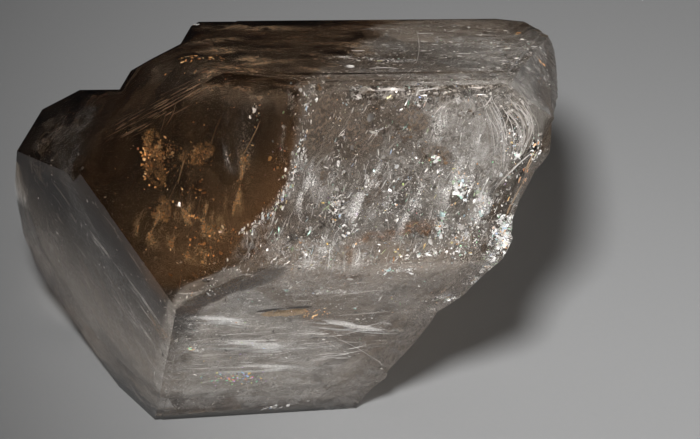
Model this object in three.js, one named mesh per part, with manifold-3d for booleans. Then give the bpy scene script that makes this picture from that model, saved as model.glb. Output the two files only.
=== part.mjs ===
// A large smoky herkimer diamond: a stubby, double-ended quartz crystal with a small crystal grown
// against its left shoulder. Its right end is broken off in a rippled, shell-like fracture, and it
// rests on a flat broken underside. Millimetres, +X across the front, +Y to the back, +Z up.
import * as THREE from "three";
import { mergeVertices } from "three/addons/utils/BufferGeometryUtils.js";
import Module from "manifold-3d";

const DEG = Math.PI / 180;

// Quartz faces repeat every 60 degrees round the c axis. Each form has its own slope: the angle
// between the c axis and the outward normal of its faces.
const SECTOR = 60;
const SLOPE = {
  prism: 90,
  upper: 51.8,
  upperSteep: 75.3,
  upperBevel: 65.5,
  lower: 180 - 51.8,
  lowerSteep: 180 - 75.3,
};

// How the crystal lies: its c axis leans from upright towards a heading, and it is spun about it.
const C_AXIS_LEAN = 34;
const C_AXIS_HEADING = -76;
const SPIN = -66.5;

// The flat broken underside is this far below the crystal's centre.
const UNDERSIDE = 33.2;

// Each face is [form, sector, distance from the crystal's centre].
const MAIN_CRYSTAL = [
  ["prism", 0, 41.8],
  ["prism", 1, 25.8],
  ["prism", 2, 56.0],
  ["prism", 3, 60.0],
  ["prism", 4, 38.0],
  ["prism", 5, 45.7],
  ["upper", 0, 45.9],
  ["upper", 1, 42.8],
  ["upper", 2, 51.8],
  ["upper", 3, 45.2],
  ["upper", 4, 31.5],
  ["upper", 5, 48.1],
  ["upperSteep", 5, 44.6],
  ["upperBevel", 4.5, 39.1],
  ["lower", 0, 52.6],
  ["lower", 3, 33.0],
  ["lower", 4, 38.0],
  ["lower", 5, 44.0],
];

// The small crystal at the left grew in parallel with the main one, so it has the same forms.
const SMALL_CRYSTAL = [
  ["prism", 0, 41.8],
  ["prism", 1, 25.0],
  ["prism", 2, 0.0],
  ["prism", 5, 56.3],
  ["prism", 4, 22.6],
  ["upper", 0, 42.6],
  ["upper", 4, 21.8],
  ["upper", 5, 44.1],
  ["upperSteep", 5, 54.4],
  ["upperBevel", 4.5, 44.0],
  ["lowerSteep", 5, 58.0],
  ["lower", 5, 60.8],
  ["lower", 0, 52.6],
  ["lower", 3, 8.0],
  ["lower", 4, 25.0],
];

// A tiny glassy crystal tip that stands at the left end of the top's back edge.
const TIP = [
  ["prism", 0, 12.0],
  ["prism", 1, -30.0],
  ["prism", 2, -16.0],
  ["prism", 3, 4.0],
  ["prism", 4, 38.5],
  ["prism", 5, 39.9],
  ["upper", 4, 31.6],
  ["upper", 5, 35.4],
  ["upperBevel", 4.5, 42.3],
  ["lower", 3, 4.0],
  ["lower", 4, 32.0],
  ["lower", 5, 32.0],
];

// Growth layers: the same crystal with some faces a little further out and their neighbours drawn
// in, which leaves low steps that run along the edges.
const GROWTH_LAYERS = [
  { "upper 4": 31.85, "upper 1": 31.8, "upper 0": 43.0, "upper 3": 44.2 },
  { "upper 4": 31.65, "upper 1": 38.1, "upper 0": 44.6 },
  { "prism 1": 25.95, "upper 1": 25.2, "upper 2": 9.2, "upper 0": 34.0, "prism 0": 40.8 },
  {
    "upperBevel 4.5": 40.1,
    "upperSteep 5": 44.9,
    "prism 5": 46.1,
    "upper 5": 47.7,
    "upper 4": 31.2,
    "upper 0": 44.8,
    "prism 0": 40.6,
    "prism 4": 37.4,
    "lower 5": 43.2,
    "lower 4": 37.2,
  },
];

// The rim of the broken right end, from the top of the crystal down to its foot:
// [across, height, depth] along the slope the break follows.
const BREAK_RIM = [
  [32.0, 35.4, 10.0],
  [35.4, 29.4, -6.0],
  [34.6, 24.4, -18.0],
  [33.4, 19.5, -30.0],
  [31.6, 15.9, -45.8],
  [31.5, 11.5, -45.5],
  [31.1, 9.5, -45.7],
  [29.5, 8.3, -46.9],
  [28.2, 5.4, -45.7],
  [26.5, 2.3, -44.5],
  [25.6, -0.4, -43.4],
  [26.1, -1.0, -43.0],
  [25.6, -3.4, -42.0],
  [24.5, -5.9, -41.0],
  [22.4, -7.9, -38.2],
  [20.4, -9.9, -34.6],
  [18.0, -12.9, -28.8],
  [14.6, -14.6, -26.0],
  [13.1, -17.5, -20.6],
  [10.7, -20.9, -14.1],
  [8.2, -24.0, -8.1],
  [6.5, -25.9, -4.6],
  [6.2, -27.3, -1.9],
  [4.0, -29.0, 1.2],
  [1.9, -31.4, 5.6],
  [1.1, -33.2, 9.1],
];
const BREAK_SLOPE = 30;
const BREAK_SLIDE_IN = -0.16;
const RIM_SOFTENING = 7;
const SOFTENING_STEPS = [-1, -0.75, -0.5, -0.25, 0, 0.25, 0.5, 0.75, 1];
const RIM_REACH = 9;
const BREAK_SPAN = { up: 112, depth: 124 };
const BREAK_CUT_TO = 130;
const BREAK_CELLS = { up: 74, depth: 50 };

// Shell-shaped hollows that meet in low ridges: [height, depth, radius, hollow].
const SHELLS = [
  [7, -24, 25, 2.6],
  [-12, -4, 22, 2.2],
  [22, 6, 19, 1.6],
  [2, 14, 24, 2.8],
  [-24, 18, 17, 1.6],
  [-6, 42, 22, 2.4],
  [27, 30, 18, 1.8],
];

// Ripples spread over the break from the point where the blow fell.
const BLOW = { up: 6, depth: -52 };
const RIPPLE = { spacing: 5.4, spread: 0.82, height: 0.26, growth: 30, lobes: 3, bend: 1.4 };
const HACKLES = { count: 7, height: 0.12, twist: 0.1 };

// Flat splinters are missing along the front rim of the break, which leaves a narrow ledge:
// [start, end, width].
const LEDGE_FACING = [0.64, -0.74, -0.12];
const LEDGE_SPLINTERS = [
  [[29.5, -36.2, 33.6], [27.6, -36.8, 30.4], 9],
  [[28.0, -36.8, 31.4], [25.0, -37.7, 24.6], 9],
  [[25.6, -37.8, 25.4], [23.4, -38.6, 19.6], 9],
];
const LEDGE_CUT = 6;
const LEDGE_OVERHANG = 1;

// Small shell-shaped chips on the edges: [centre, radius].
const CHIPS = [
  [[-13.6, -10.4, -34.4], 1.6],
  [[-10.9, -10.2, -34.2], 1.1],
  [[-7.2, -9.9, -34.4], 1.3],
  [[21.4, -40.6, 12.2], 1.7],
  [[14.2, -41.4, 11.9], 1.0],
  [[-58.8, 0.8, 13.4], 1.0],
  [[-50.0, 6.0, 20.6], 1.2],
  [[3.0, 27.5, 25.4], 1.2],
  [[24.0, 12.0, 30.6], 1.4],
];
const CHIP_SHAPE = [1.25, 0.85, 0.6];
const CHIP_DETAIL = 5;

// A thin curved flake has sprung out of the lower front face.
const FLAKE_SCAR = { centre: [-10.2, -34.1, 2.6], size: [3.3, 0.75, 0.45], turn: 10 };
const SCAR_DETAIL = 7;

const COLOUR = 0x8a7f74;
const ROUGHNESS = 0.05;
const BLOCK_SIZE = 400;
const MERGE_TOLERANCE = 1e-4;

const wasm = await Module();
wasm.setup();

// A closed three.js geometry as a solid that can be joined and cut.
function solidOf(geometry) {
  const bare = geometry.clone();
  bare.deleteAttribute("normal");
  bare.deleteAttribute("uv");
  const merged = mergeVertices(bare, MERGE_TOLERANCE);
  return new wasm.Manifold(
    new wasm.Mesh({
      numProp: 3,
      vertProperties: new Float32Array(merged.attributes.position.array),
      triVerts: new Uint32Array(merged.index.array),
    }),
  );
}

function geometryOf(solid) {
  const mesh = solid.getMesh();
  const geometry = new THREE.BufferGeometry();
  geometry.setAttribute("position", new THREE.BufferAttribute(mesh.vertProperties, 3));
  geometry.setIndex(new THREE.BufferAttribute(mesh.triVerts, 1));
  return geometry;
}

// The turn from the crystal's own axes, with c along Z, to how the crystal lies.
const attitude = new THREE.Matrix4()
  .makeRotationZ(C_AXIS_HEADING * DEG)
  .multiply(new THREE.Matrix4().makeRotationY(C_AXIS_LEAN * DEG))
  .multiply(new THREE.Matrix4().makeRotationZ(SPIN * DEG));

function faceNormal(form, sector) {
  const slope = SLOPE[form] * DEG;
  const round = sector * SECTOR * DEG;
  return new THREE.Vector3(
    Math.sin(slope) * Math.cos(round),
    Math.sin(slope) * Math.sin(round),
    Math.cos(slope),
  ).applyMatrix4(attitude);
}

// All the space outside a plane, as a block big enough to cut any face.
function outsideOf(normal, distance) {
  const block = new THREE.BoxGeometry(BLOCK_SIZE, BLOCK_SIZE, BLOCK_SIZE);
  block.translate(0, 0, BLOCK_SIZE / 2 + distance);
  const turn = new THREE.Quaternion().setFromUnitVectors(new THREE.Vector3(0, 0, 1), normal);
  block.applyQuaternion(turn);
  return solidOf(block);
}

function crystal(faces) {
  const block = solidOf(new THREE.BoxGeometry(BLOCK_SIZE / 2, BLOCK_SIZE / 2, BLOCK_SIZE / 2));
  return faces.reduce(
    (solid, [form, sector, distance]) =>
      solid.subtract(outsideOf(faceNormal(form, sector), distance)),
    block,
  );
}

function withLayer(faces, layer) {
  return faces.map(([form, sector, distance]) => [
    form,
    sector,
    layer[form + " " + sector] ?? distance,
  ]);
}

function grownCrystal() {
  const layers = GROWTH_LAYERS.map((layer) => crystal(withLayer(MAIN_CRYSTAL, layer)));
  const others = [crystal(SMALL_CRYSTAL), crystal(TIP)];
  return [...layers, ...others].reduce((solid, next) => solid.add(next), crystal(MAIN_CRYSTAL));
}

// The rim at a given height, straight between its points.
function rimAt(up) {
  const upper = BREAK_RIM.findLastIndex((point) => point[1] >= up);
  if (upper < 0) return BREAK_RIM[0];
  if (upper === BREAK_RIM.length - 1) return BREAK_RIM[upper];
  const [from, to] = [BREAK_RIM[upper], BREAK_RIM[upper + 1]];
  const share = (from[1] - up) / (from[1] - to[1]);
  return from.map((value, i) => THREE.MathUtils.lerp(value, to[i], share));
}

// The rim with its nicks averaged away.
function softRimAt(up) {
  const rims = SOFTENING_STEPS.map((step) => rimAt(up + step * RIM_SOFTENING));
  return [0, 1, 2].map((i) => rims.reduce((sum, rim) => sum + rim[i], 0) / rims.length);
}

function shellHollow(up, depth) {
  const hollows = SHELLS.map(([shellUp, shellDepth, radius, hollow]) => {
    const share = Math.hypot(up - shellUp, depth - shellDepth) / radius;
    return hollow * Math.max(0, 1 - share * share);
  });
  return Math.max(...hollows);
}

function rippleHeight(up, depth) {
  const distance = Math.hypot(up - BLOW.up, depth - BLOW.depth);
  const heading = Math.atan2(up - BLOW.up, depth - BLOW.depth);
  const rings = distance ** RIPPLE.spread / RIPPLE.spacing;
  const ring = Math.sin(2 * Math.PI * rings + RIPPLE.bend * Math.sin(RIPPLE.lobes * heading));
  const hackle = Math.sin(HACKLES.count * heading + HACKLES.twist * distance);
  return (RIPPLE.height * ring + HACKLES.height * hackle) * Math.min(1, distance / RIPPLE.growth);
}

// How far to the right the crystal still reaches at a height and a depth. It meets the rim
// exactly, and further in the nicks of the rim die out into shells and ripples.
function breakReach(up, depth) {
  const [rimAcross, , rimDepth] = rimAt(up);
  const [softAcross, , softDepth] = softRimAt(up);
  const nearRim = Math.exp(-(((depth - rimDepth) / RIM_REACH) ** 2));
  const broad = softAcross + BREAK_SLIDE_IN * (depth - softDepth);
  const broadAtRim = softAcross + BREAK_SLIDE_IN * (rimDepth - softDepth);
  const inside = rippleHeight(up, depth) - shellHollow(up, depth);
  return broad + nearRim * (rimAcross - broadAtRim) + (1 - nearRim) * inside;
}

// A solid that fills all the space beyond the broken end: a box whose left side takes the shape of
// the break.
function brokenAwayEnd() {
  const across = new THREE.Vector3(1, 0, 0);
  const slope = BREAK_SLOPE * DEG;
  const back = new THREE.Vector3(0, Math.cos(slope), -Math.sin(slope));
  const up = new THREE.Vector3().crossVectors(across, back);
  const block = new THREE.BoxGeometry(
    1,
    BREAK_SPAN.up,
    BREAK_SPAN.depth,
    1,
    BREAK_CELLS.up,
    BREAK_CELLS.depth,
  );
  const position = block.attributes.position;
  for (let i = 0; i < position.count; i += 1) {
    const height = position.getY(i);
    const depth = -position.getZ(i);
    const reach = position.getX(i) > 0 ? BREAK_CUT_TO : breakReach(height, depth);
    const point = new THREE.Vector3(reach, 0, 0);
    point.addScaledVector(up, height).addScaledVector(back, depth);
    position.setXYZ(i, point.x, point.y, point.z);
  }
  return solidOf(block);
}

// A block laid along the rim, whose underside cuts the ledge.
function ledgeSplinter([from, to, width]) {
  const start = new THREE.Vector3(...from);
  const end = new THREE.Vector3(...to);
  const along = end.clone().sub(start).normalize();
  const out = new THREE.Vector3(...LEDGE_FACING).projectOnPlane(along).normalize();
  const over = new THREE.Vector3().crossVectors(out, along);
  const block = new THREE.BoxGeometry(start.distanceTo(end), width, LEDGE_CUT);
  block.translate(0, width / 2 - LEDGE_OVERHANG, LEDGE_CUT / 2);
  block.applyMatrix4(new THREE.Matrix4().makeBasis(along, over, out));
  block.translate(...start.add(end).multiplyScalar(0.5).toArray());
  return solidOf(block);
}

// A shallow dish scooped out where a small shell of quartz has flaked away.
function chip([centre, radius]) {
  const ball = new THREE.IcosahedronGeometry(radius, CHIP_DETAIL);
  ball.scale(...CHIP_SHAPE);
  ball.translate(...centre);
  return solidOf(ball);
}

// A long thin scar that lies in the lower front face.
function flakeScar() {
  const ball = new THREE.IcosahedronGeometry(1, SCAR_DETAIL);
  ball.scale(...FLAKE_SCAR.size);
  ball.rotateZ(FLAKE_SCAR.turn * DEG);
  const front = new THREE.Quaternion().setFromUnitVectors(
    new THREE.Vector3(0, 0, 1),
    faceNormal("prism", 1),
  );
  ball.applyQuaternion(front);
  ball.translate(...FLAKE_SCAR.centre);
  return solidOf(ball);
}

function herkimer() {
  const cuts = [
    outsideOf(new THREE.Vector3(0, 0, -1), UNDERSIDE),
    brokenAwayEnd(),
    ...LEDGE_SPLINTERS.map(ledgeSplinter),
    ...CHIPS.map(chip),
    flakeScar(),
  ];
  return cuts.reduce((solid, cut) => solid.subtract(cut), grownCrystal());
}

// The finished piece sits on z = 0 with the middle of its outline over the origin.
const solid = geometryOf(herkimer());
solid.computeBoundingBox();
const { min, max } = solid.boundingBox;
solid.translate(-(min.x + max.x) / 2, -(min.y + max.y) / 2, -min.z);

const mesh = new THREE.Mesh(
  solid,
  new THREE.MeshStandardMaterial({ color: COLOUR, roughness: ROUGHNESS, metalness: 0 }),
);
mesh.name = "crystal";
const group = new THREE.Group();
group.add(mesh);
export default group;
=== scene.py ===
import math

import bmesh
import bpy
import numpy as np
from bpy.props import FloatProperty, FloatVectorProperty, IntProperty, PointerProperty
from bpy.types import Operator, Panel, PropertyGroup
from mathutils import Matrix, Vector


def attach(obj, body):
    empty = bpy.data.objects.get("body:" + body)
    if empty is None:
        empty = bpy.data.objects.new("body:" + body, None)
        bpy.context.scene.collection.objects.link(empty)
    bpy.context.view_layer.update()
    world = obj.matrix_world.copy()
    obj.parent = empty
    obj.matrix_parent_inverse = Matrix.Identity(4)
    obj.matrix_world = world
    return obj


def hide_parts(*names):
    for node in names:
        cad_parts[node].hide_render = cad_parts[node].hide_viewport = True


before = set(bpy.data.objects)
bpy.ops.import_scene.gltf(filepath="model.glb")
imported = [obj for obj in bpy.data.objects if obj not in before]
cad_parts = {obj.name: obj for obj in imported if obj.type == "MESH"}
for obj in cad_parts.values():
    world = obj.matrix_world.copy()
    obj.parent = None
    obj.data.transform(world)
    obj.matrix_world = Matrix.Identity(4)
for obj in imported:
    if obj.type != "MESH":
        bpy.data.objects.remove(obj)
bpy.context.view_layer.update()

bl_info = {
    "name": "Herkimer diamond",
    "version": (1, 0, 0),
    "blender": (4, 5, 0),
    "location": "3D View > Sidebar > Herkimer",
    "description": "Clear quartz, its smoky heart and all that is sealed in it",
    "category": "Object",
}

MM = 0.001
BODY = "root"
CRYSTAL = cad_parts["crystal"]


# ---------------------------------------------------------------- shader maths


class Val:
    """A socket that carries a number, with the arithmetic operators."""

    def __init__(self, shader, socket):
        self.shader = shader
        self.socket = socket

    def _with(operation, swapped=False):
        """A method that joins the socket to another value by one Math operation."""

        def method(self, other):
            pair = (other, self) if swapped else (self, other)
            return self.shader.math(operation, *pair)

        return method

    __add__ = __radd__ = _with("ADD")
    __sub__ = _with("SUBTRACT")
    __rsub__ = _with("SUBTRACT", swapped=True)
    __mul__ = __rmul__ = _with("MULTIPLY")
    most = _with("MAXIMUM")
    least = _with("MINIMUM")

    def clamp(self):
        return self.least(1.0).most(0.0)

    def size(self):
        return self.shader.math("ABSOLUTE", self)

    def over(self, low, high):
        """0 below low, 1 above high, and a smooth step between."""
        limits = {"Value": self, "From Min": low, "From Max": high}
        made = self.shader.node("ShaderNodeMapRange", {"interpolation_type": "SMOOTHSTEP"}, limits)
        return Val(self.shader, made.outputs["Result"])



class Shader:
    """One material, built by calls that each add a node."""

    def __init__(self, name):
        self.material = bpy.data.materials.new(name)
        self.material.use_nodes = True
        self.tree = self.material.node_tree
        self.tree.nodes.clear()

    def node(self, kind, settings=None, sockets=None):
        """Adds a node: first its settings, then the values or links of its sockets."""
        made = self.tree.nodes.new(kind)
        for name, value in (settings or {}).items():
            if name == "ramp":
                self._ramp(made.color_ramp, value)
            else:
                setattr(made, name, value)
        for name, value in (sockets or {}).items():
            self.feed(made.inputs[name], value)
        return made

    def _ramp(self, ramp, stops):
        while len(ramp.elements) < len(stops):
            ramp.elements.new(1.0)
        for element, (position, colour) in zip(ramp.elements, stops):
            element.position = position
            element.color = (*colour, 1.0)

    def feed(self, socket, value):
        """Links a socket or a Val to a socket, or sets the socket to a number, vector or colour."""
        if isinstance(value, Val):
            value = value.socket
        if isinstance(value, bpy.types.NodeSocket):
            self.tree.links.new(value, socket)
        elif socket.type == "RGBA":
            socket.default_value = (*value[:3], 1.0)
        else:
            socket.default_value = value

    def math(self, operation, *values):
        made = self.tree.nodes.new("ShaderNodeMath")
        made.operation = operation
        for socket, value in zip(made.inputs, values):
            self.feed(socket, value)
        return Val(self, made.outputs[0])

    def object_place(self):
        return self.node("ShaderNodeTexCoord").outputs["Object"]

    def place(self, scale=(1, 1, 1), turn=(0, 0, 0), uv=False):
        """Object coordinates, or the piece's own UV map, scaled and then turned."""
        source = self.node("ShaderNodeTexCoord").outputs["UV" if uv else "Object"]
        sockets = {"Vector": source, "Scale": scale, "Rotation": turn}
        return self.node("ShaderNodeMapping", {"vector_type": "POINT"}, sockets).outputs["Vector"]

    def drawn_out(self, way, stretch):
        """Object coordinates squeezed along a way, so that a pattern is drawn out along it."""
        turn = tuple(Vector(way).to_track_quat("Z", "Y").to_euler())
        sockets = {"Vector": self.object_place(), "Rotation": turn, "Scale": (1, 1, stretch)}
        return self.node("ShaderNodeMapping", {"vector_type": "TEXTURE"}, sockets).outputs["Vector"]

    def noise(self, where, scale, detail=3.0, roughness=0.55, distortion=0.0):
        sockets = {"Vector": where, "Scale": scale, "Detail": detail, "Roughness": roughness}
        sockets["Distortion"] = distortion
        made = self.node("ShaderNodeTexNoise", {"normalize": True}, sockets)
        return Val(self, made.outputs["Fac"])

    def attribute(self, name):
        """A number that the mesh holds at each of its points."""
        return Val(self, self.node("ShaderNodeAttribute", {"attribute_name": name}).outputs["Fac"])

    def mix(self, factor, first, second):
        made = self.node("ShaderNodeMix", {"data_type": "RGBA"})
        self.feed(made.inputs[0], factor)
        self.feed(made.inputs[6], first)
        self.feed(made.inputs[7], second)
        return made.outputs[2]

    def beyond(self, normal, offset):
        """How far a point of the object lies past a plane, in millimetres."""
        across = self.vector("DOT_PRODUCT", self.object_place(), tuple(normal))
        return Val(self, across.outputs["Value"]) * (1 / MM) - offset

    def creases(self, where, scale, width, detail=4.0, distortion=0.6):
        """Thin lines: 1 where noise passes through its middle value, 0 a width away from it."""
        lines = self.noise(where, scale, detail, 0.6, distortion) - 0.5
        return 1 - lines.size().over(width * 0.3, width)

    def vector(self, operation, *values):
        made = self.tree.nodes.new("ShaderNodeVectorMath")
        made.operation = operation
        for socket, value in zip(made.inputs, values):
            self.feed(socket, value)
        return made

    def world_way(self, way):
        """A way of the object as a way of the world."""
        return self.node(
            "ShaderNodeVectorTransform",
            {"vector_type": "NORMAL", "convert_from": "OBJECT", "convert_to": "WORLD"},
            {"Vector": tuple(way)},
        ).outputs["Vector"]

    def looks(self, way):
        """The cosine of the angle between the surface's normal and a way of the object."""
        normal = self.node("ShaderNodeNewGeometry").outputs["Normal"]
        return Val(self, self.vector("DOT_PRODUCT", normal, self.world_way(way)).outputs["Value"])

    def leaning(self, way, lean):
        """The surface's normal, leant toward a way of the object where it already looks that way."""
        normal = self.node("ShaderNodeNewGeometry").outputs["Normal"]
        pull = self.vector("SCALE", self.world_way(way))
        self.feed(pull.inputs["Scale"], self.looks(way).most(0.0) * lean)
        summed = self.vector("ADD", normal, pull.outputs["Vector"])
        return self.vector("NORMALIZE", summed.outputs["Vector"]).outputs["Vector"]

    def bump(self, height, strength, distance, normal=None):
        sockets = {"Height": height, "Strength": strength, "Distance": distance}
        if normal is not None:
            sockets["Normal"] = normal
        return self.node("ShaderNodeBump", None, sockets).outputs["Normal"]

    def principled(self, **sockets):
        """The output of a Principled shader; a socket's name has _ for each space in it."""
        named = {name.replace("_", " "): value for name, value in sockets.items()}
        return self.node("ShaderNodeBsdfPrincipled", None, named).outputs[0]

    def open_way(self, colour=(1.0, 1.0, 1.0)):
        """A surface that only tints what passes it."""
        return self.node("ShaderNodeBsdfTransparent", None, {"Color": colour}).outputs[0]

    def lamp_ray(self):
        return self.node("ShaderNodeLightPath").outputs["Is Shadow Ray"]

    def depth_tint(self, colour, density):
        """Absorption inside a closed piece."""
        sockets = {"Color": colour, "Density": density}
        return self.node("ShaderNodeVolumeAbsorption", None, sockets).outputs[0]

    def blend(self, factor, first, second):
        """A Mix Shader of two shader outputs."""
        made = self.node("ShaderNodeMixShader")
        self.feed(made.inputs[0], factor)
        self.feed(made.inputs[1], first)
        self.feed(made.inputs[2], second)
        return made.outputs[0]

    def finish(self, surface, volume=None):
        out = self.node("ShaderNodeOutputMaterial", None, {"Surface": surface})
        if volume is not None:
            self.feed(out.inputs["Volume"], volume)
        return self.material


# ---------------------------------------------------------------- meshes


def unit(vectors):
    vectors = np.asarray(vectors, float)
    return vectors / np.linalg.norm(vectors, axis=-1, keepdims=True)


def add_piece(name, mesh, material, shade=True):
    """A piece that rides on the crystal's body; without shade it lets the lamps shine past."""
    mesh.materials.clear()
    mesh.materials.append(material)
    piece = bpy.data.objects.new(name, mesh)
    piece.visible_shadow = shade
    bpy.context.scene.collection.objects.link(piece)
    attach(piece, BODY)
    return piece


def put_in(name, points, faces, material, uv=None, marks=None, smooth=True, shade=False):
    """A piece from an array of points in millimetres and an array of faces."""
    mesh = bpy.data.meshes.new(name)
    mesh.vertices.add(len(points))
    mesh.vertices.foreach_set("co", np.asarray(points, np.float32).ravel() * MM)
    corners = faces.shape[1]
    mesh.loops.add(faces.size)
    mesh.loops.foreach_set("vertex_index", faces.ravel().astype(np.int32))
    mesh.polygons.add(len(faces))
    mesh.polygons.foreach_set("loop_start", np.arange(0, faces.size, corners, dtype=np.int32))
    mesh.polygons.foreach_set("use_smooth", np.full(len(faces), smooth))
    mesh.update()
    if uv is not None:
        layer = mesh.uv_layers.new(name="UVMap")
        layer.data.foreach_set("uv", uv[faces.ravel()].astype(np.float32).ravel())
    for mark, values in (marks or {}).items():
        attribute = mesh.attributes.new(mark, "FLOAT", "POINT")
        attribute.data.foreach_set("value", np.asarray(values, np.float32))
    return add_piece(name, mesh, material, shade)


def corner_points(obj):
    """The three corners of every triangle of a mesh, in millimetres."""
    mesh = obj.data
    mesh.calc_loop_triangles()
    points = np.empty(len(mesh.vertices) * 3, np.float32)
    mesh.vertices.foreach_get("co", points)
    corners = np.empty(len(mesh.loop_triangles) * 3, np.int32)
    mesh.loop_triangles.foreach_get("vertices", corners)
    return points.reshape(-1, 3)[corners].reshape(-1, 3, 3).astype(float) / MM


TRIANGLES = corner_points(CRYSTAL)


def reach(centre, ways):
    """How far the crystal's skin is from a point inside it along each way: the nearest of the
    places where a ray meets a triangle, for all rays and triangles at once."""
    a = TRIANGLES[:, 0]
    side = TRIANGLES[:, 1] - a
    other = TRIANGLES[:, 2] - a
    offset = np.asarray(centre, float) - a
    q = np.cross(offset, side)
    ways = np.asarray(ways, float)
    det = ways @ np.cross(other, side).T
    det = np.where(np.abs(det) < 1e-12, 1e-12, det)
    u = ways @ np.cross(other, offset).T / det
    v = ways @ q.T / det
    t = np.einsum("ij,ij->i", other, q) / det
    met = (u > -1e-6) & (v > -1e-6) & (u + v < 1 + 1e-6) & (t > 1e-6)
    return np.where(met, t, np.inf).min(axis=1)


def inside(points, margin=1.0):
    """Which points lie in the crystal, at least a margin from its skin: a ray leaves an inner
    point through the skin an odd number of times, and a short way each side stays in."""
    points = np.asarray(points, float)
    a = TRIANGLES[:, 0]
    side = (TRIANGLES[:, 1] - a)[:, :2]
    other = (TRIANGLES[:, 2] - a)[:, :2]
    det = side[:, 0] * other[:, 1] - side[:, 1] * other[:, 0]
    det = np.where(np.abs(det) < 1e-9, 1e-9, det)

    def within(places):
        offset = places[:, None, :2] - a[None, :, :2]
        u = (offset[..., 0] * other[:, 1] - offset[..., 1] * other[:, 0]) / det
        v = (offset[..., 1] * side[:, 0] - offset[..., 0] * side[:, 1]) / det
        height = a[:, 2] + u * (TRIANGLES[:, 1] - a)[:, 2] + v * (TRIANGLES[:, 2] - a)[:, 2]
        over = (u >= 0) & (v >= 0) & (u + v <= 1) & (height > places[:, 2:])
        return over.sum(axis=1) % 2 == 1

    kept = within(points)
    for way in margin * np.concatenate([np.eye(3), -np.eye(3)]):
        kept[kept] = within(points[kept] + way)
    return kept


def disc_faces(rings, spokes):
    """Triangles of a disc whose points are its middle, then each ring in turn."""
    k = np.arange(spokes)
    after = (k + 1) % spokes
    fan = np.stack([np.zeros(spokes, int), 1 + k, 1 + after], axis=1)
    bands = []
    for ring in range(rings - 1):
        low = 1 + ring * spokes
        high = low + spokes
        bands.append(np.stack([low + k, high + k, high + after], axis=1))
        bands.append(np.stack([low + k, high + after, low + after], axis=1))
    return np.concatenate([fan, *bands])


def disc_grid(rings, spokes):
    """Share of the radius and heading of each point of such a disc."""
    share = np.repeat(np.arange(1, rings + 1) / rings, spokes)
    heading = np.tile(np.arange(spokes) * 2 * np.pi / spokes, rings)
    return np.concatenate([[0.0], share]), np.concatenate([[0.0], heading])


def side_ways(normals, turn=0.0):
    """Two ways square to each normal: the level one and the one that climbs, both turned."""
    normals = np.asarray(normals, float)
    level = np.cross(np.broadcast_to([0.0, 0.0, 1.0], normals.shape), normals)
    flat = np.linalg.norm(level, axis=-1, keepdims=True) < 1e-6
    level = unit(np.where(flat, [1.0, 0.0, 0.0], level))
    climb = np.cross(normals, level)
    turn = np.asarray(turn, float)[..., None]
    return np.cos(turn) * level + np.sin(turn) * climb, np.cos(turn) * climb - np.sin(turn) * level


FOLDS = 7


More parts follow.
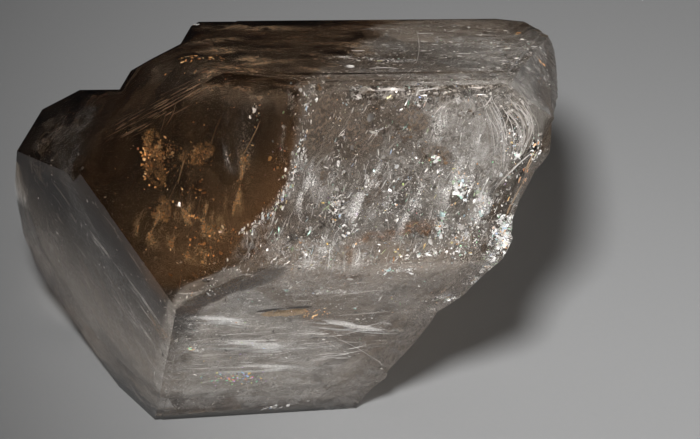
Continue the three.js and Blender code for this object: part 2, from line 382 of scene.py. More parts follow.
class Fracture:
    """A healed fracture: a curved leaf in the crystal. A point at share r of the radius and at
    heading h lies r times the leaf's reach along h from the middle, and stands off its plane by
    a bowl, bulge times r squared. The reach is an oval made ragged by three waves in h, or ends
    a gap short of the skin. Crumpling adds folds: for each of seven ways across the leaf, 1 less
    twice the size of a sine."""

    def __init__(self, middle, normal, size, bulge=0.0, turn=0.0, gap=0.6, ragged=0.16,
                 crumple=0.0, seed=1):
        rng = np.random.default_rng(seed)
        self.middle = np.asarray(middle, float)
        self.normal = unit(normal)
        self.wide, self.tall = side_ways(self.normal, math.radians(turn))
        self.size = np.asarray(size, float) * np.ones(2)
        self.bulge, self.gap, self.crumple = bulge, gap, crumple
        self.ragged = ragged / np.arange(1, 4)
        self.phases = rng.uniform(0, 2 * np.pi, 4)[:3]
        lengths = np.geomspace(9.0, 1.6, FOLDS)
        turns = rng.uniform(0, np.pi, FOLDS)
        self.folds = np.pi / lengths[:, None] * np.stack([np.cos(turns), np.sin(turns)], axis=1)
        self.starts = rng.uniform(0, np.pi, FOLDS)
        self.heights = lengths / lengths.sum()

    def ways(self, heading):
        return np.cos(heading)[:, None] * self.wide + np.sin(heading)[:, None] * self.tall

    def far(self, heading):
        wave = np.sin(np.outer(heading, [2, 3, 4]) + self.phases) @ self.ragged
        oval = np.hypot(np.cos(heading) / self.size[0], np.sin(heading) / self.size[1])
        return np.minimum((1 + wave) / oval, reach(self.middle, self.ways(heading)) - self.gap)

    def points(self, share, heading, far):
        out = share * far
        off = self.bulge * share**2
        if self.crumple:
            flat = np.stack([out * np.cos(heading), out * np.sin(heading)], axis=1)
            folds = 1 - 2 * np.abs(np.sin(flat @ self.folds.T + self.starts))
            off = off + self.crumple * (folds @ self.heights)
        return self.middle + out[:, None] * self.ways(heading) + off[:, None] * self.normal

    def grid(self, rings, spokes):
        """Share of the reach, heading and reach of each point of a disc of rings."""
        share, heading = disc_grid(rings, spokes)
        far = self.far(heading[-spokes:])
        return share, heading, np.concatenate([far[:1], np.tile(far, rings)])

    def leaf(self, name, material, rings=24, spokes=72):
        share, heading, far = self.grid(rings, spokes)
        out = share * far
        uv = np.stack([out * np.cos(heading), out * np.sin(heading)], axis=1) * 0.01 + 0.5
        return put_in(name, self.points(share, heading, far), disc_faces(rings, spokes),
                      material, uv, {"rim": share})

    def open_crack(self, name, material, width=0.05, rings=30, spokes=96):
        """The leaf as a thin gap: two sides that stand apart by the width times the root of
        1 - r squared, and meet at the rim."""
        share, heading, far = self.grid(rings, spokes)
        middle = self.points(share, heading, far)
        half = 0.5 * width * np.sqrt(np.clip(1 - share**2, 0, 1))[:, None] * self.normal
        inner = len(share) - spokes
        points = np.concatenate([middle + half, (middle - half)[:inner]])
        front = disc_faces(rings, spokes)
        back = np.where(front < inner, front + len(share), front)[:, ::-1]
        return put_in(name, points, np.concatenate([front, back]), material)

    def scatter(self, count, rng, clumps=5, hug=0.25):
        """Random places on the leaf, most of them in a few clumps."""
        home = rng.random((clumps, 2))
        which = rng.integers(0, clumps, count)
        share = np.sqrt(np.clip(home[which, 0] + rng.normal(0, hug, count), 0, 1))
        heading = 2 * np.pi * (home[which, 1] + rng.normal(0, hug * 0.6, count))
        return self.points(share, heading, self.far(heading))


def flake_field(name, material, middles, normals, sizes, rng, along=None, slim=(0.4, 1.0),
                rings=1, spokes=7, bend=0.3):
    """Many flakes in one mesh. Each is a ragged, shallow dish on its own plane; along lines the
    long side of every flake up with one way."""
    n = len(middles)
    level, climb = side_ways(normals, rng.uniform(0, np.pi, n))
    if along is not None:
        drift = unit(np.asarray(along, float) + rng.normal(0, 0.12, (n, 3)))
        level = unit(drift - np.einsum("ij,ij->i", drift, normals)[:, None] * normals)
        climb = np.cross(normals, level)
    share, heading = disc_grid(rings, spokes)
    ragged = np.tile(rng.uniform(0.6, 1.25, (n, spokes)), rings)
    ragged = np.concatenate([np.ones((n, 1)), ragged], axis=1)
    narrow = rng.uniform(*slim, n)[:, None]
    x = share * np.cos(heading) * ragged
    y = share * np.sin(heading) * ragged * narrow
    dish = rng.uniform(-bend, bend, n)[:, None] * share**2
    points = middles[:, None, :] + sizes[:, None, None] * (
        x[..., None] * level[:, None] + y[..., None] * climb[:, None]
        + dish[..., None] * normals[:, None]
    )
    faces = disc_faces(rings, spokes)[None] + np.arange(n)[:, None, None] * len(share)
    tint = np.repeat(rng.random(n), len(share))
    return put_in(name, points.reshape(-1, 3), faces.reshape(-1, 3), material, None,
                  {"tint": tint}, smooth=False)


def strands(name, material, starts, ends, bows, widths, rng, steps=10):
    """Thin ribbons in one mesh, flat side to the front. Each runs from its start to its end and
    bows aside by 4 t (1 - t) times its bow; its width goes with the root of 4 t (1 - t)."""
    t = np.linspace(0, 1, steps + 1)
    arch = (4 * t * (1 - t))[None, :, None]
    path = starts[:, None] * (1 - t)[None, :, None] + ends[:, None] * t[None, :, None]
    path = path + bows[:, None] * arch
    side = unit(np.cross(np.gradient(path, axis=1), FRONT))
    half = 0.5 * widths[:, None, None] * np.sqrt(arch + 0.01)
    points = np.stack([path + side * half, path - side * half], axis=2)
    k = 2 * np.arange(steps)
    quads = np.stack([k, k + 1, k + 3, k + 2], axis=1)
    faces = quads[None] + (np.arange(len(starts)) * 2 * (steps + 1))[:, None, None]
    tint = np.repeat(rng.random(len(starts)), 2 * (steps + 1))
    return put_in(name, points.reshape(-1, 3), faces.reshape(-1, 4), material, None, {"tint": tint})


def under_face(count, face, middle, spread, depth, rng, skin, zone=None):
    """Places scattered evenly under a face, around a middle, each under it by a depth drawn from
    a falling curve; those outside the crystal or outside a zone are left out."""
    way = unit(face[0])
    wide, tall = side_ways(way)
    flat = rng.uniform(-1, 1, (count, 2)) * spread
    middle = np.asarray(middle, float)
    middle = middle + (face[1] / np.linalg.norm(face[0]) - middle @ way) * way
    down = 0.5 + rng.exponential(depth, (count, 1))
    places = middle + flat[:, :1] * wide + flat[:, 1:] * tall - down * way
    kept = skin.holds(places, 0.4)
    if zone is not None:
        kept &= zone(places)
    return places[kept]


def facing(count, rng, lean):
    """Random unit ways; the larger lean is, the more of them look toward the front."""
    return unit(rng.normal(size=(count, 3)) + lean * FRONT)


def logs(count, rng, middle, spread=0.45):
    """Sizes whose logarithms follow a bell curve."""
    return middle * np.exp(rng.normal(0, spread, count))


# ---------------------------------------------------------------- zones

# All places are in millimetres. The show side of the crystal looks along FRONT.
FRONT = np.array([0.0, -0.87, 0.5])

# Inner points of the crystal, of its smoky part and of the small crystal at its side.
MIDDLE = (4.0, 0.0, 42.0)
SMOKE_HEART = (-14.0, -4.0, 50.0)
SIDE_HEART = (-37.0, 8.0, 41.0)

# Flat limits of the smoke: the way out of it, and the offset of the plane along that way.
SMOKE_SIDE = ((0.965, -0.254, -0.062), 8.4)
SMOKE_CORNER = ((0.716, -0.447, -0.537), -14.6)
SMOKE_KEEL = ((0.542, -0.487, -0.686), -21.5)
SMOKE_FOOT = ((-0.2, -0.35, -0.915), -30.0)

# The front faces: the way each looks, and how far out it lies along that way.
LEFT_FOOT_FACE = ((-0.81, -0.54, -0.22), 23.8)
FOOT_FACE = ((0.09, -0.83, -0.56), 7.1)
SMOKY_FACE = ((-0.55, -0.76, 0.34), 49.2)
CLEAR_FACE = ((0.15, -0.99, 0.08), 46.0)
TOP_FACE = ((0.01, 0.31, 0.95), 63.7)
RIGHT_BEVEL = ((0.72, 0.09, 0.69), 76.0)

# The ways the bevels of the top look, to the back and to the left.
BACK_BEVEL = (-0.46, 0.36, 0.81)
LEFT_BEVEL = (-0.84, 0.14, 0.53)

# The way the streaks of the crystal run.
STREAK = (0.34, 0.45, 0.82)


def past(points, plane, shift=0.0):
    way, offset = plane
    return points @ np.array(way) - offset - shift


def in_clear(points):
    return (past(points, SMOKE_SIDE) > 0.6) | (past(points, SMOKE_CORNER) > 0.6)


def in_rough(points):
    """Which points lie in the clear end, but not in its smooth upper corners."""
    across, height = points[:, 0], points[:, 2]
    left = (across < 0.32 * height - 13.6 - 0.8 * np.sin(1.9 * height)) & (height > 56)
    right = (across > 32.5 + 0.6 * np.sin(2.3 * height)) & (height > 62.5)
    return in_clear(points) & ~left & ~right


def under_foot(points):
    """Which points lie nearer to the two foot faces than to the two faces above them."""
    foot = np.maximum(past(points, FOOT_FACE), past(points, LEFT_FOOT_FACE))
    return foot > np.maximum(past(points, SMOKY_FACE), past(points, CLEAR_FACE)) + 0.8


def in_smoke(points):
    dark = (past(points, SMOKE_SIDE) < -0.6) & (past(points, SMOKE_CORNER) < -0.6)
    return dark & ~under_foot(points)


# A shell reaches at least this share of the way to the skin; its limits wave by this height.
LEAST_REACH = 0.35
WAVE_HEIGHT = 2.2


class Skin:
    """The skin of the crystal as seen from a heart inside it: latitude runs over the rows and
    heading over the columns of a grid of ways, and each way has its distance to the skin."""

    def __init__(self, centre, rows=60, columns=120):
        lat = (np.arange(1, rows) / rows - 0.5) * np.pi
        lon = np.arange(columns) * 2 * np.pi / columns
        lat, lon = np.meshgrid(lat, lon, indexing="ij")
        flat = np.cos(lat)
        ways = np.stack([flat * np.cos(lon), flat * np.sin(lon), np.sin(lat)], axis=-1)
        self.ways = np.concatenate([[[0, 0, -1.0]], ways.reshape(-1, 3), [[0, 0, 1.0]]])
        self.centre = np.asarray(centre, float)
        self.rows, self.columns = rows, columns
        parts = np.array_split(self.ways, 8)
        self.far = np.concatenate([reach(self.centre, part) for part in parts])
        self.faces = self.grid_faces(rows, columns)

    def holds(self, points, margin):
        """Which points lie in the crystal with a margin: nearer than the nearest skin of the
        four ways of the grid around them."""
        off = points - self.centre
        away = np.maximum(np.linalg.norm(off, axis=1), 1e-6)
        row = (np.arcsin(off[:, 2] / away) / np.pi + 0.5) * self.rows
        column = np.arctan2(off[:, 1], off[:, 0]) / (2 * np.pi) * self.columns
        low = np.clip(np.floor(row).astype(int) - 1, 0, self.rows - 3)
        left = np.floor(column).astype(int)
        grid = self.far[1:-1].reshape(self.rows - 1, self.columns)
        near = np.stack([
            grid[low + i, (left + j) % self.columns] for i in (0, 1) for j in (0, 1)
        ])
        return away < near.min(axis=0) - margin

    def grid_faces(self, rows, columns):
        k = np.arange(columns)
        after = (k + 1) % columns
        last = 1 + (rows - 1) * columns
        faces = [np.stack([np.zeros(columns, int), 1 + after, 1 + k], axis=1)]
        for row in range(rows - 2):
            low = 1 + row * columns
            high = low + columns
            faces.append(np.stack([low + k, low + after, high + after], axis=1))
            faces.append(np.stack([low + k, high + after, high + k], axis=1))
        top = last - columns
        faces.append(np.stack([top + k, top + after, np.full(columns, last)], axis=1))
        return np.concatenate(faces)

    def shell(self, name, material, margin, cuts=(), shade=False):
        """A closed body that ends a margin under the skin, or at the nearest of some flat
        limits, each moved out by its own shift. The limits wave toward the back by two sines."""
        far = np.maximum(self.far - margin, LEAST_REACH * self.far)
        ripples = np.sin(self.ways @ [17.0, 5.0, 23.0]) + 0.6 * np.sin(self.ways @ [-11.0, 31.0, 7.0])
        wave = WAVE_HEIGHT * np.clip(self.ways[:, 1] + 0.35, 0, 1) * ripples
        for (way, offset), shift in cuts:
            along = self.ways @ unit(way)
            room = offset + shift - self.centre @ np.array(way) + wave
            far = np.where(along > 1e-6, np.minimum(far, room / np.maximum(along, 1e-6)), far)
        points = self.centre + self.ways * far[:, None]
        return put_in(name, points, self.faces, material, shade=shade)


MAIN_SKIN = Skin(MIDDLE)
SIDE_SKIN = Skin(SIDE_HEART, 40, 80)


# ---------------------------------------------------------------- colours and places

# Colours of flakes and threads: ramps from 0 to 1.
SILVER_STOPS = [
    (0.0, (0.8, 0.8, 0.8)),
    (0.8, (1.0, 1.0, 1.0)),
    (0.86, (1.0, 0.55, 0.25)),
    (0.92, (0.5, 0.9, 0.6)),
    (1.0, (0.55, 0.65, 1.0)),
]
LEAF_STOPS = [
    (0.0, (0.2, 0.09, 0.03)),
    (0.35, (0.6, 0.28, 0.09)),
    (0.7, (1.0, 0.56, 0.22)),
    (1.0, (1.0, 0.8, 0.5)),
]
DARK_STOPS = [(0.0, (0.012, 0.008, 0.005)), (0.6, (0.05, 0.03, 0.018)), (1.0, (0.16, 0.09, 0.04))]
PRISM_STOPS = [
    (0.0, (1.0, 0.25, 0.3)),
    (0.25, (1.0, 0.75, 0.2)),
    (0.5, (0.4, 1.0, 0.5)),
    (0.75, (0.4, 0.6, 1.0)),
    (1.0, (0.85, 0.4, 1.0)),
]
PLATELET_STOPS = [
    (0.0, (0.03, 0.025, 0.022)),
    (0.45, (0.12, 0.11, 0.1)),
    (0.8, (0.4, 0.38, 0.36)),
    (1.0, (0.9, 0.88, 0.86)),
]
GOLD_STOPS = [
    (0.0, (0.5, 0.3, 0.12)),
    (0.6, (0.9, 0.6, 0.3)),
    (0.85, (1.0, 0.85, 0.6)),
    (1.0, (1.0, 0.35, 0.15)),
]
THREAD_STOPS = [(0.0, (0.3, 0.28, 0.27)), (0.6, (0.65, 0.63, 0.62)), (1.0, (1.0, 1.0, 1.0))]
DULL_STOPS = [(0.0, (0.09, 0.075, 0.06)), (0.5, (0.22, 0.2, 0.18)), (1.0, (0.45, 0.43, 0.41))]
WARM_STOPS = [(0.0, (0.02, 0.012, 0.006)), (0.7, (0.08, 0.045, 0.02)), (1.0, (0.2, 0.12, 0.06))]
RIDGE_STOPS = [(0.0, (0.04, 0.02, 0.01)), (0.7, (0.14, 0.08, 0.045)), (1.0, (0.24, 0.155, 0.095))]
TAN_STOPS = [(0.0, (0.16, 0.1, 0.055)), (1.0, (0.34, 0.24, 0.15))]

# Single lines: start, bow, end and width.
PALE_LINES = [
    ((23.6, 21, 58.5), (0.5, 0, 0), (22.7, -15.7, 70.8), 0.12),
    ((22.5, -20, 72), (-0.6, 0, 0), (18.8, -35.5, 75.4), 0.14),
    ((16.2, -36.8, 72.0), (0.1, 0, 0), (12.4, -37.6, 66.8), 0.13),
    ((16.6, -36.6, 71.6), (0.1, 0, 0), (13.6, -37.4, 67.4), 0.09),
    ((4, -25.4, 27.6), (0, 0, 0.3), (8.2, -25, 27.2), 0.16),
    ((8.2, -25, 27.2), (0.5, 0, 0.5), (18.3, -14.9, 14), 0.14),
    ((12.3, -2.9, 66.8), (0, 0, 0), (14.6, -2.9, 66.8), 0.5),
    ((29.4, -4.8, 67.3), (0, 0, 0), (32.4, -4.6, 67.3), 0.4),
    ((15, -21.6, 73), (0, 0.8, 0), (19.8, -21.2, 72.8), 0.5),
    ((22.2, -32.5, 76.6), (0.3, 0, 0), (25.4, -33.5, 77.4), 0.22),
]
TAN_LINES = [
    ((41, -33.4, 66.2), (-0.2, 0, 0), (39.4, -34.2, 62.4), 0.2),
    ((39.3, -34.2, 61.6), (-0.2, 0, 0), (36.6, -35.5, 55), 0.28),
]

# Spots for leaves under a face: middle, half width and half height, turn in degrees, bulge.
CURTAINS = [
    ((5.0, -35.8, 63), (2.0, 8), -14, 0.8),
    ((7.5, -36, 51), (3.2, 8), -8, 0.8),
    ((15, -36, 62), (2.4, 7), -24, 0.6),
    ((22, -36, 58), (2.2, 8), -22, 0.6),
    ((28.5, -35, 62), (2.4, 7), -16, 0.6),
    ((33, -33, 57), (2.2, 6), -12, 0.5),
    ((26, -35, 71), (6, 2.4), 10, 0.5),
    ((13, -36, 49), (6, 2), 2, 0.4),
]
ARCS = [
    ((-8.5, -31, 33.5), (2.6, 8), 84, 1.2),
    ((-1.5, -24, 22.5), (2.6, 7), 84, 1.0),
    ((-2, -22.5, 25), (3, 11), 84, 1.2),
    ((0, -17, 17), (3.4, 13), 88, 1.2),
    ((14, -24, 28), (2.6, 10), 72, 0.8),
    ((-8, -28, 34), (2.6, 7), 60, 0.6),
]
LEFT_STREAKS = [
    ((-22.6, -23.2, 32.1), (2.4, 10), 57, 0.4),
    ((-29.7, -14.4, 36.6), (2.0, 9), 57, 0.4),
    ((-20.2, -19.3, 13.8), (2.6, 9), 57, 0.4),
    ((-22.8, -17.9, 23.3), (2.2, 7), 62, 0.4),
]
GOLDEN = [
    ((-10, -30, 52), (5.5, 4.0), 10, 0.4),
    ((-19, -26, 48), (3.0, 7.0), -12, 0.4),
    ((-5, -32, 59), (3.0, 5.5), 8, 0.4),
    ((-12, -29, 46), (6.0, 2.6), 4, 0.4),
]
WINDOWS = [
    ((-2.4, -14.7, 71.9), (4.5, 9), 0, 0.2),
    ((-5, 22.1, 59.9), (9, 5), 0, 0.2),
    ((-9, -4, 68), (6, 4), 20, 0.2),
    ((14, 2, 66), (3, 12), 0, 0.2),
    ((-11, 8, 64), (8, 3.5), 5, 0.2),
]
RUST = [
    ((22.4, -36.2, 54.6), (3.6, 2.0), 12, 0.2),
    ((16, -36.4, 53.5), (4.5, 1.2), 2, 0.2),
    ((11.4, -36.3, 51), (1.2, 1.7), 10, 0.2),
]
SHADES = [
    ((21.5, -34.8, 73), (2.2, 3.2), 10, 0.2),
    ((25.2, -35.2, 67), (2.6, 1.9), -20, 0.2),
    ((7.6, -36.6, 64), (0.9, 1.3), 10, 0.1),
    ((13.5, -36, 70.5), (3.0, 4.0), -14, 0.2),
    ((15.5, -35.8, 61), (1.8, 2.6), 10, 0.2),
]

# Films of leaves: dark and light colour, cover, grain, and what differs from the plain film.
FILMS = {
    "silver fracture": ((0.6, 0.58, 0.56), (0.95, 0.95, 0.95), 0.6, 40, dict(
        sharp=(0.45, 0.62), specks=0.8, metal=0.7, rough=0.3, crinkle=0.9)),
    "pale veil": ((0.2, 0.18, 0.16), (0.5, 0.48, 0.46), 0.6, 34, dict(
        stretch=0.3, sharp=(0.42, 0.6), specks=0.6)),
    "brown veil": ((0.05, 0.035, 0.025), (0.13, 0.1, 0.075), 0.85, 18, dict(
        sharp=(0.3, 0.5), specks=0.2)),
    "gloom": ((0.008, 0.005, 0.003), (0.05, 0.03, 0.018), 0.97, 14, dict(
        stretch=0.3, sharp=(0.1, 0.3), specks=0.0, fade=0.93)),
    "gold leaf": ((0.16, 0.075, 0.025), (1.0, 0.62, 0.27), 1.0, 80, dict(
        sharp=(0.4, 0.5), specks=0.6, metal=0.35, rough=0.4, lean=1.0)),
    "curtain": ((0.35, 0.33, 0.31), (0.95, 0.94, 0.92), 0.85, 60, dict(
        stretch=0.2, sharp=(0.48, 0.58), specks=0.5, fade=0.4, lean=1.2)),
    "arc": ((0.75, 0.74, 0.73), (1.0, 1.0, 1.0), 1.0, 62, dict(
        stretch=0.1, sharp=(0.49, 0.56), specks=0.3, fade=0.5, lean=2.2)),
    "soft streaks": ((0.3, 0.28, 0.26), (0.85, 0.82, 0.78), 0.85, 50, dict(
        stretch=0.14, sharp=(0.46, 0.62), specks=0.3, fade=0.4, lean=1.8)),
    "golden veil": ((0.07, 0.034, 0.012), (0.45, 0.25, 0.1), 0.7, 60, dict(
        stretch=0.3, sharp=(0.44, 0.6), specks=0.5, fade=0.4, lean=0.6)),
    "tan veil": ((0.13, 0.085, 0.048), (0.38, 0.26, 0.16), 0.8, 40, dict(
        stretch=0.5, sharp=(0.36, 0.6), specks=0.4, fade=0.4, lean=2.4)),
    "rust stain": ((0.06, 0.026, 0.012), (0.26, 0.13, 0.06), 0.75, 40, dict(
        stretch=2.0, sharp=(0.38, 0.56), specks=0.3, fade=0.3)),
    "tan stain": ((0.2, 0.13, 0.07), (0.55, 0.4, 0.24), 1.0, 60, dict(
        sharp=(0.3, 0.46), specks=0.2, lean=1.8)),
}

# Single leaves: name, film, middle, the way it faces, half sizes, bulge, and the rest of its shape.
GOLD_WAY = (-0.3, -0.85, 0.42)
SINGLE_LEAVES = [
    ("wispy_veil", "pale veil", (-4.6, -26.3, 65), (0.3, -0.85, 0.4), (4.2, 7.5), 1.2,
     dict(turn=12, crumple=0.5, seed=3)),
    ("brown_veil", "brown veil", (8, -36.2, 72.5), CLEAR_FACE[0], (3.2, 6.6), 0.0,
     dict(turn=-12, seed=4)),
    ("gloom_main", "gloom", (-20.5, 4, 56.5), (0.56, 0.48, -0.68), (13, 15), 0.0,
     dict(gap=0.5, seed=5)),
    ("gold_leaf_0", "gold leaf", (-18.2, -18.2, 56.4), GOLD_WAY, (2.4, 4.2), 0.6,
     dict(turn=12, ragged=0.3, crumple=0.4, seed=40)),
    ("gold_leaf_1", "gold leaf", (-10.6, -22.6, 59.4), GOLD_WAY, (3.6, 1.9), 0.6,
     dict(turn=8, ragged=0.3, crumple=0.4, seed=41)),
    ("gold_leaf_2", "gold leaf", (-16.6, -22.6, 49.2), GOLD_WAY, (2.7, 1.9), 0.6,
     dict(turn=-10, ragged=0.3, crumple=0.4, seed=42)),
]

# The same for the stain at the crack in the foot face, and a painted shadow along the crack's upper
# edge.
FOOT_STAINS = [
    ("tan_stain", "tan stain", (1.5, -31.4, 34.9), FOOT_FACE[0], (3.2, 1.5), 0.0,
     dict(turn=4, gap=0.1, ragged=0.3, seed=8)),
    ("crack_shadow", "gloom", (1.7, -32.0, 36.3), FOOT_FACE[0], (3.2, 0.5), 0.0,
     dict(turn=4, gap=0.1, ragged=0.4, seed=12)),
]

# Leaves that lie under a face: name, film, face and spots.
FACE_LEAVES = [
    ("curtain", "curtain", CLEAR_FACE, CURTAINS),
    ("arc", "arc", FOOT_FACE, ARCS),
    ("left_streaks", "soft streaks", LEFT_FOOT_FACE, LEFT_STREAKS),
    ("left_stain", "tan veil", LEFT_FOOT_FACE, [((-18, -26, 28), (2.6, 7), 57, 0.2)]),
    ("golden", "golden veil", SMOKY_FACE, GOLDEN),
    ("window", "tan veil", TOP_FACE, WINDOWS),
    ("wedge", "brown veil", FOOT_FACE, [((-6.3, -38.8, 43.8), (10, 2.6), 40, 0.1)]),
    ("rust", "rust stain", CLEAR_FACE, RUST),
    ("low_rust", "rust stain", FOOT_FACE, [((12, -37, 45.5), (3.5, 0.8), -4, 0.2)]),
    ("shade", "brown veil", CLEAR_FACE, SHADES),
]

# Where flakes are scattered: face, middle, half width and half height, mean depth and zone.
FLAKE_HOMES = {
    "clear": (CLEAR_FACE, (18, -38, 54), (28, 24), 3.5, in_rough),
    "top": (TOP_FACE, (24, 2, 66), (24, 30), 3.0, in_clear),
    "bevel": (RIGHT_BEVEL, (42, -4, 64), (9, 16), 2.0, None),
    "foot": (FOOT_FACE, (6, -26, 24), (30, 26), 2.5, None),
    "left": (LEFT_FOOT_FACE, (-22, -20, 26), (32, 26), 2.5, under_foot),
    "smoke": (SMOKY_FACE, (-14, -30, 60), (24, 24), 7.0, in_smoke),
}

# Scattered flakes: name, finish, home, what the count is divided by, size, how much they face the
# front, least and most width as a share of the length, and the way they run.
SLIM, ROUND = (0.06, 0.2), (0.4, 1.0)
FLAKES = [
    ("specks", "silver", "clear", 1, 0.105, 1.1, ROUND, None),
    ("chips", "silver", "clear", 5, 0.19, 1.1, (0.25, 0.8), None),
    ("slivers", "silver", "clear", 3, 0.42, 1.1, SLIM, STREAK),
    ("platelets", "grey", "clear", 1, 0.3, 0.8, (0.15, 0.8), None),
    ("top_specks", "silver", "top", 3, 0.12, 0.6, ROUND, None),
    ("top_platelets", "grey", "top", 2, 0.4, 0.6, (0.15, 0.8), None),
    ("bevel_specks", "silver", "bevel", 10, 0.11, 0.9, ROUND, None),
    ("bevel_slivers", "grey", "bevel", 6, 0.5, 0.9, SLIM, STREAK),
    ("foot_specks", "silver", "foot", 4, 0.075, 1.2, ROUND, None),
    ("foot_platelets", "grey", "foot", 2, 0.26, 1.2, (0.15, 0.6), None),
    ("left_specks", "silver", "left", 10, 0.075, 1.0, ROUND, None),
    ("left_platelets", "grey", "left", 5, 0.26, 1.0, (0.15, 0.5), None),
    ("gold", "gold", "smoke", 1, 0.1, 1.0, ROUND, None),
]

# Where threads run: face, middle, half width and half height, mean depth and zone.
THREAD_HOMES = {
    "rough": (CLEAR_FACE, (18, -38, 54), (26, 22), 3.0, in_rough),
    "clear": (CLEAR_FACE, (18, -38, 54), (26, 22), 3.0, in_clear),
    "foot": (FOOT_FACE, (-2, -24, 22), (14, 9), 1.8, None),
    "wide foot": (FOOT_FACE, (4, -26, 24), (24, 22), 2.0, None),
    "left": (LEFT_FOOT_FACE, (-22, -20, 26), (26, 24), 2.0, under_foot),
    "smoke": (SMOKY_FACE, (-14, -30, 60), (22, 22), 3.5, in_smoke),
    "top": (TOP_FACE, (24, 2, 66), (20, 26), 1.5, in_clear),
}

# Threads: name, finish, home, count, turn and its scatter in degrees, length and width.
THREADS = [
    ("clear", "pale", "rough", 420, 68, 14, 1.6, 0.09),
    ("clear_dull", "dull", "clear", 260, 66, 22, 3.0, 0.2),
    ("foot", "pale", "foot", 150, 4, 10, 2.6, 0.1),
    ("foot_wide", "dull", "wide foot", 160, 4, 12, 4.0, 0.16),
    ("left", "dull", "left", 160, -33, 6, 5.0, 0.14),
    ("smoke", "warm", "smoke", 60, 84, 7, 4.0, 0.1),
    ("top", "pale", "top", 36, 0, 10, 2.2, 0.2),
]

# Ways along the faces, for spreading flakes round a place. The foot face is the one below and to
# the left of its upper right corner.
ACROSS = np.array([1.0, 0.0, 0.0])
UPWARD = np.array([0.0, 0.5, 0.87])
FOOT_UPWARD = np.array([0.0, -0.56, 0.83])
FOOT_CORNER = (12, 38)


def climb_at(place):
    """The way up along the front face over a place."""
    right, top = FOOT_CORNER
    return FOOT_UPWARD if place[0] < right and place[2] < top else UPWARD


# How many crumbs lie in front of the smoke.
CRUMBS = 440

# Where the smoke meets the skin at the front.
SMOKE_LINE = [(5.5, -33, 76), (4, -36.5, 67.5), (2.5, -37.5, 62.5), (0, -37.7, 58), (-5, -36.5, 52.5)]

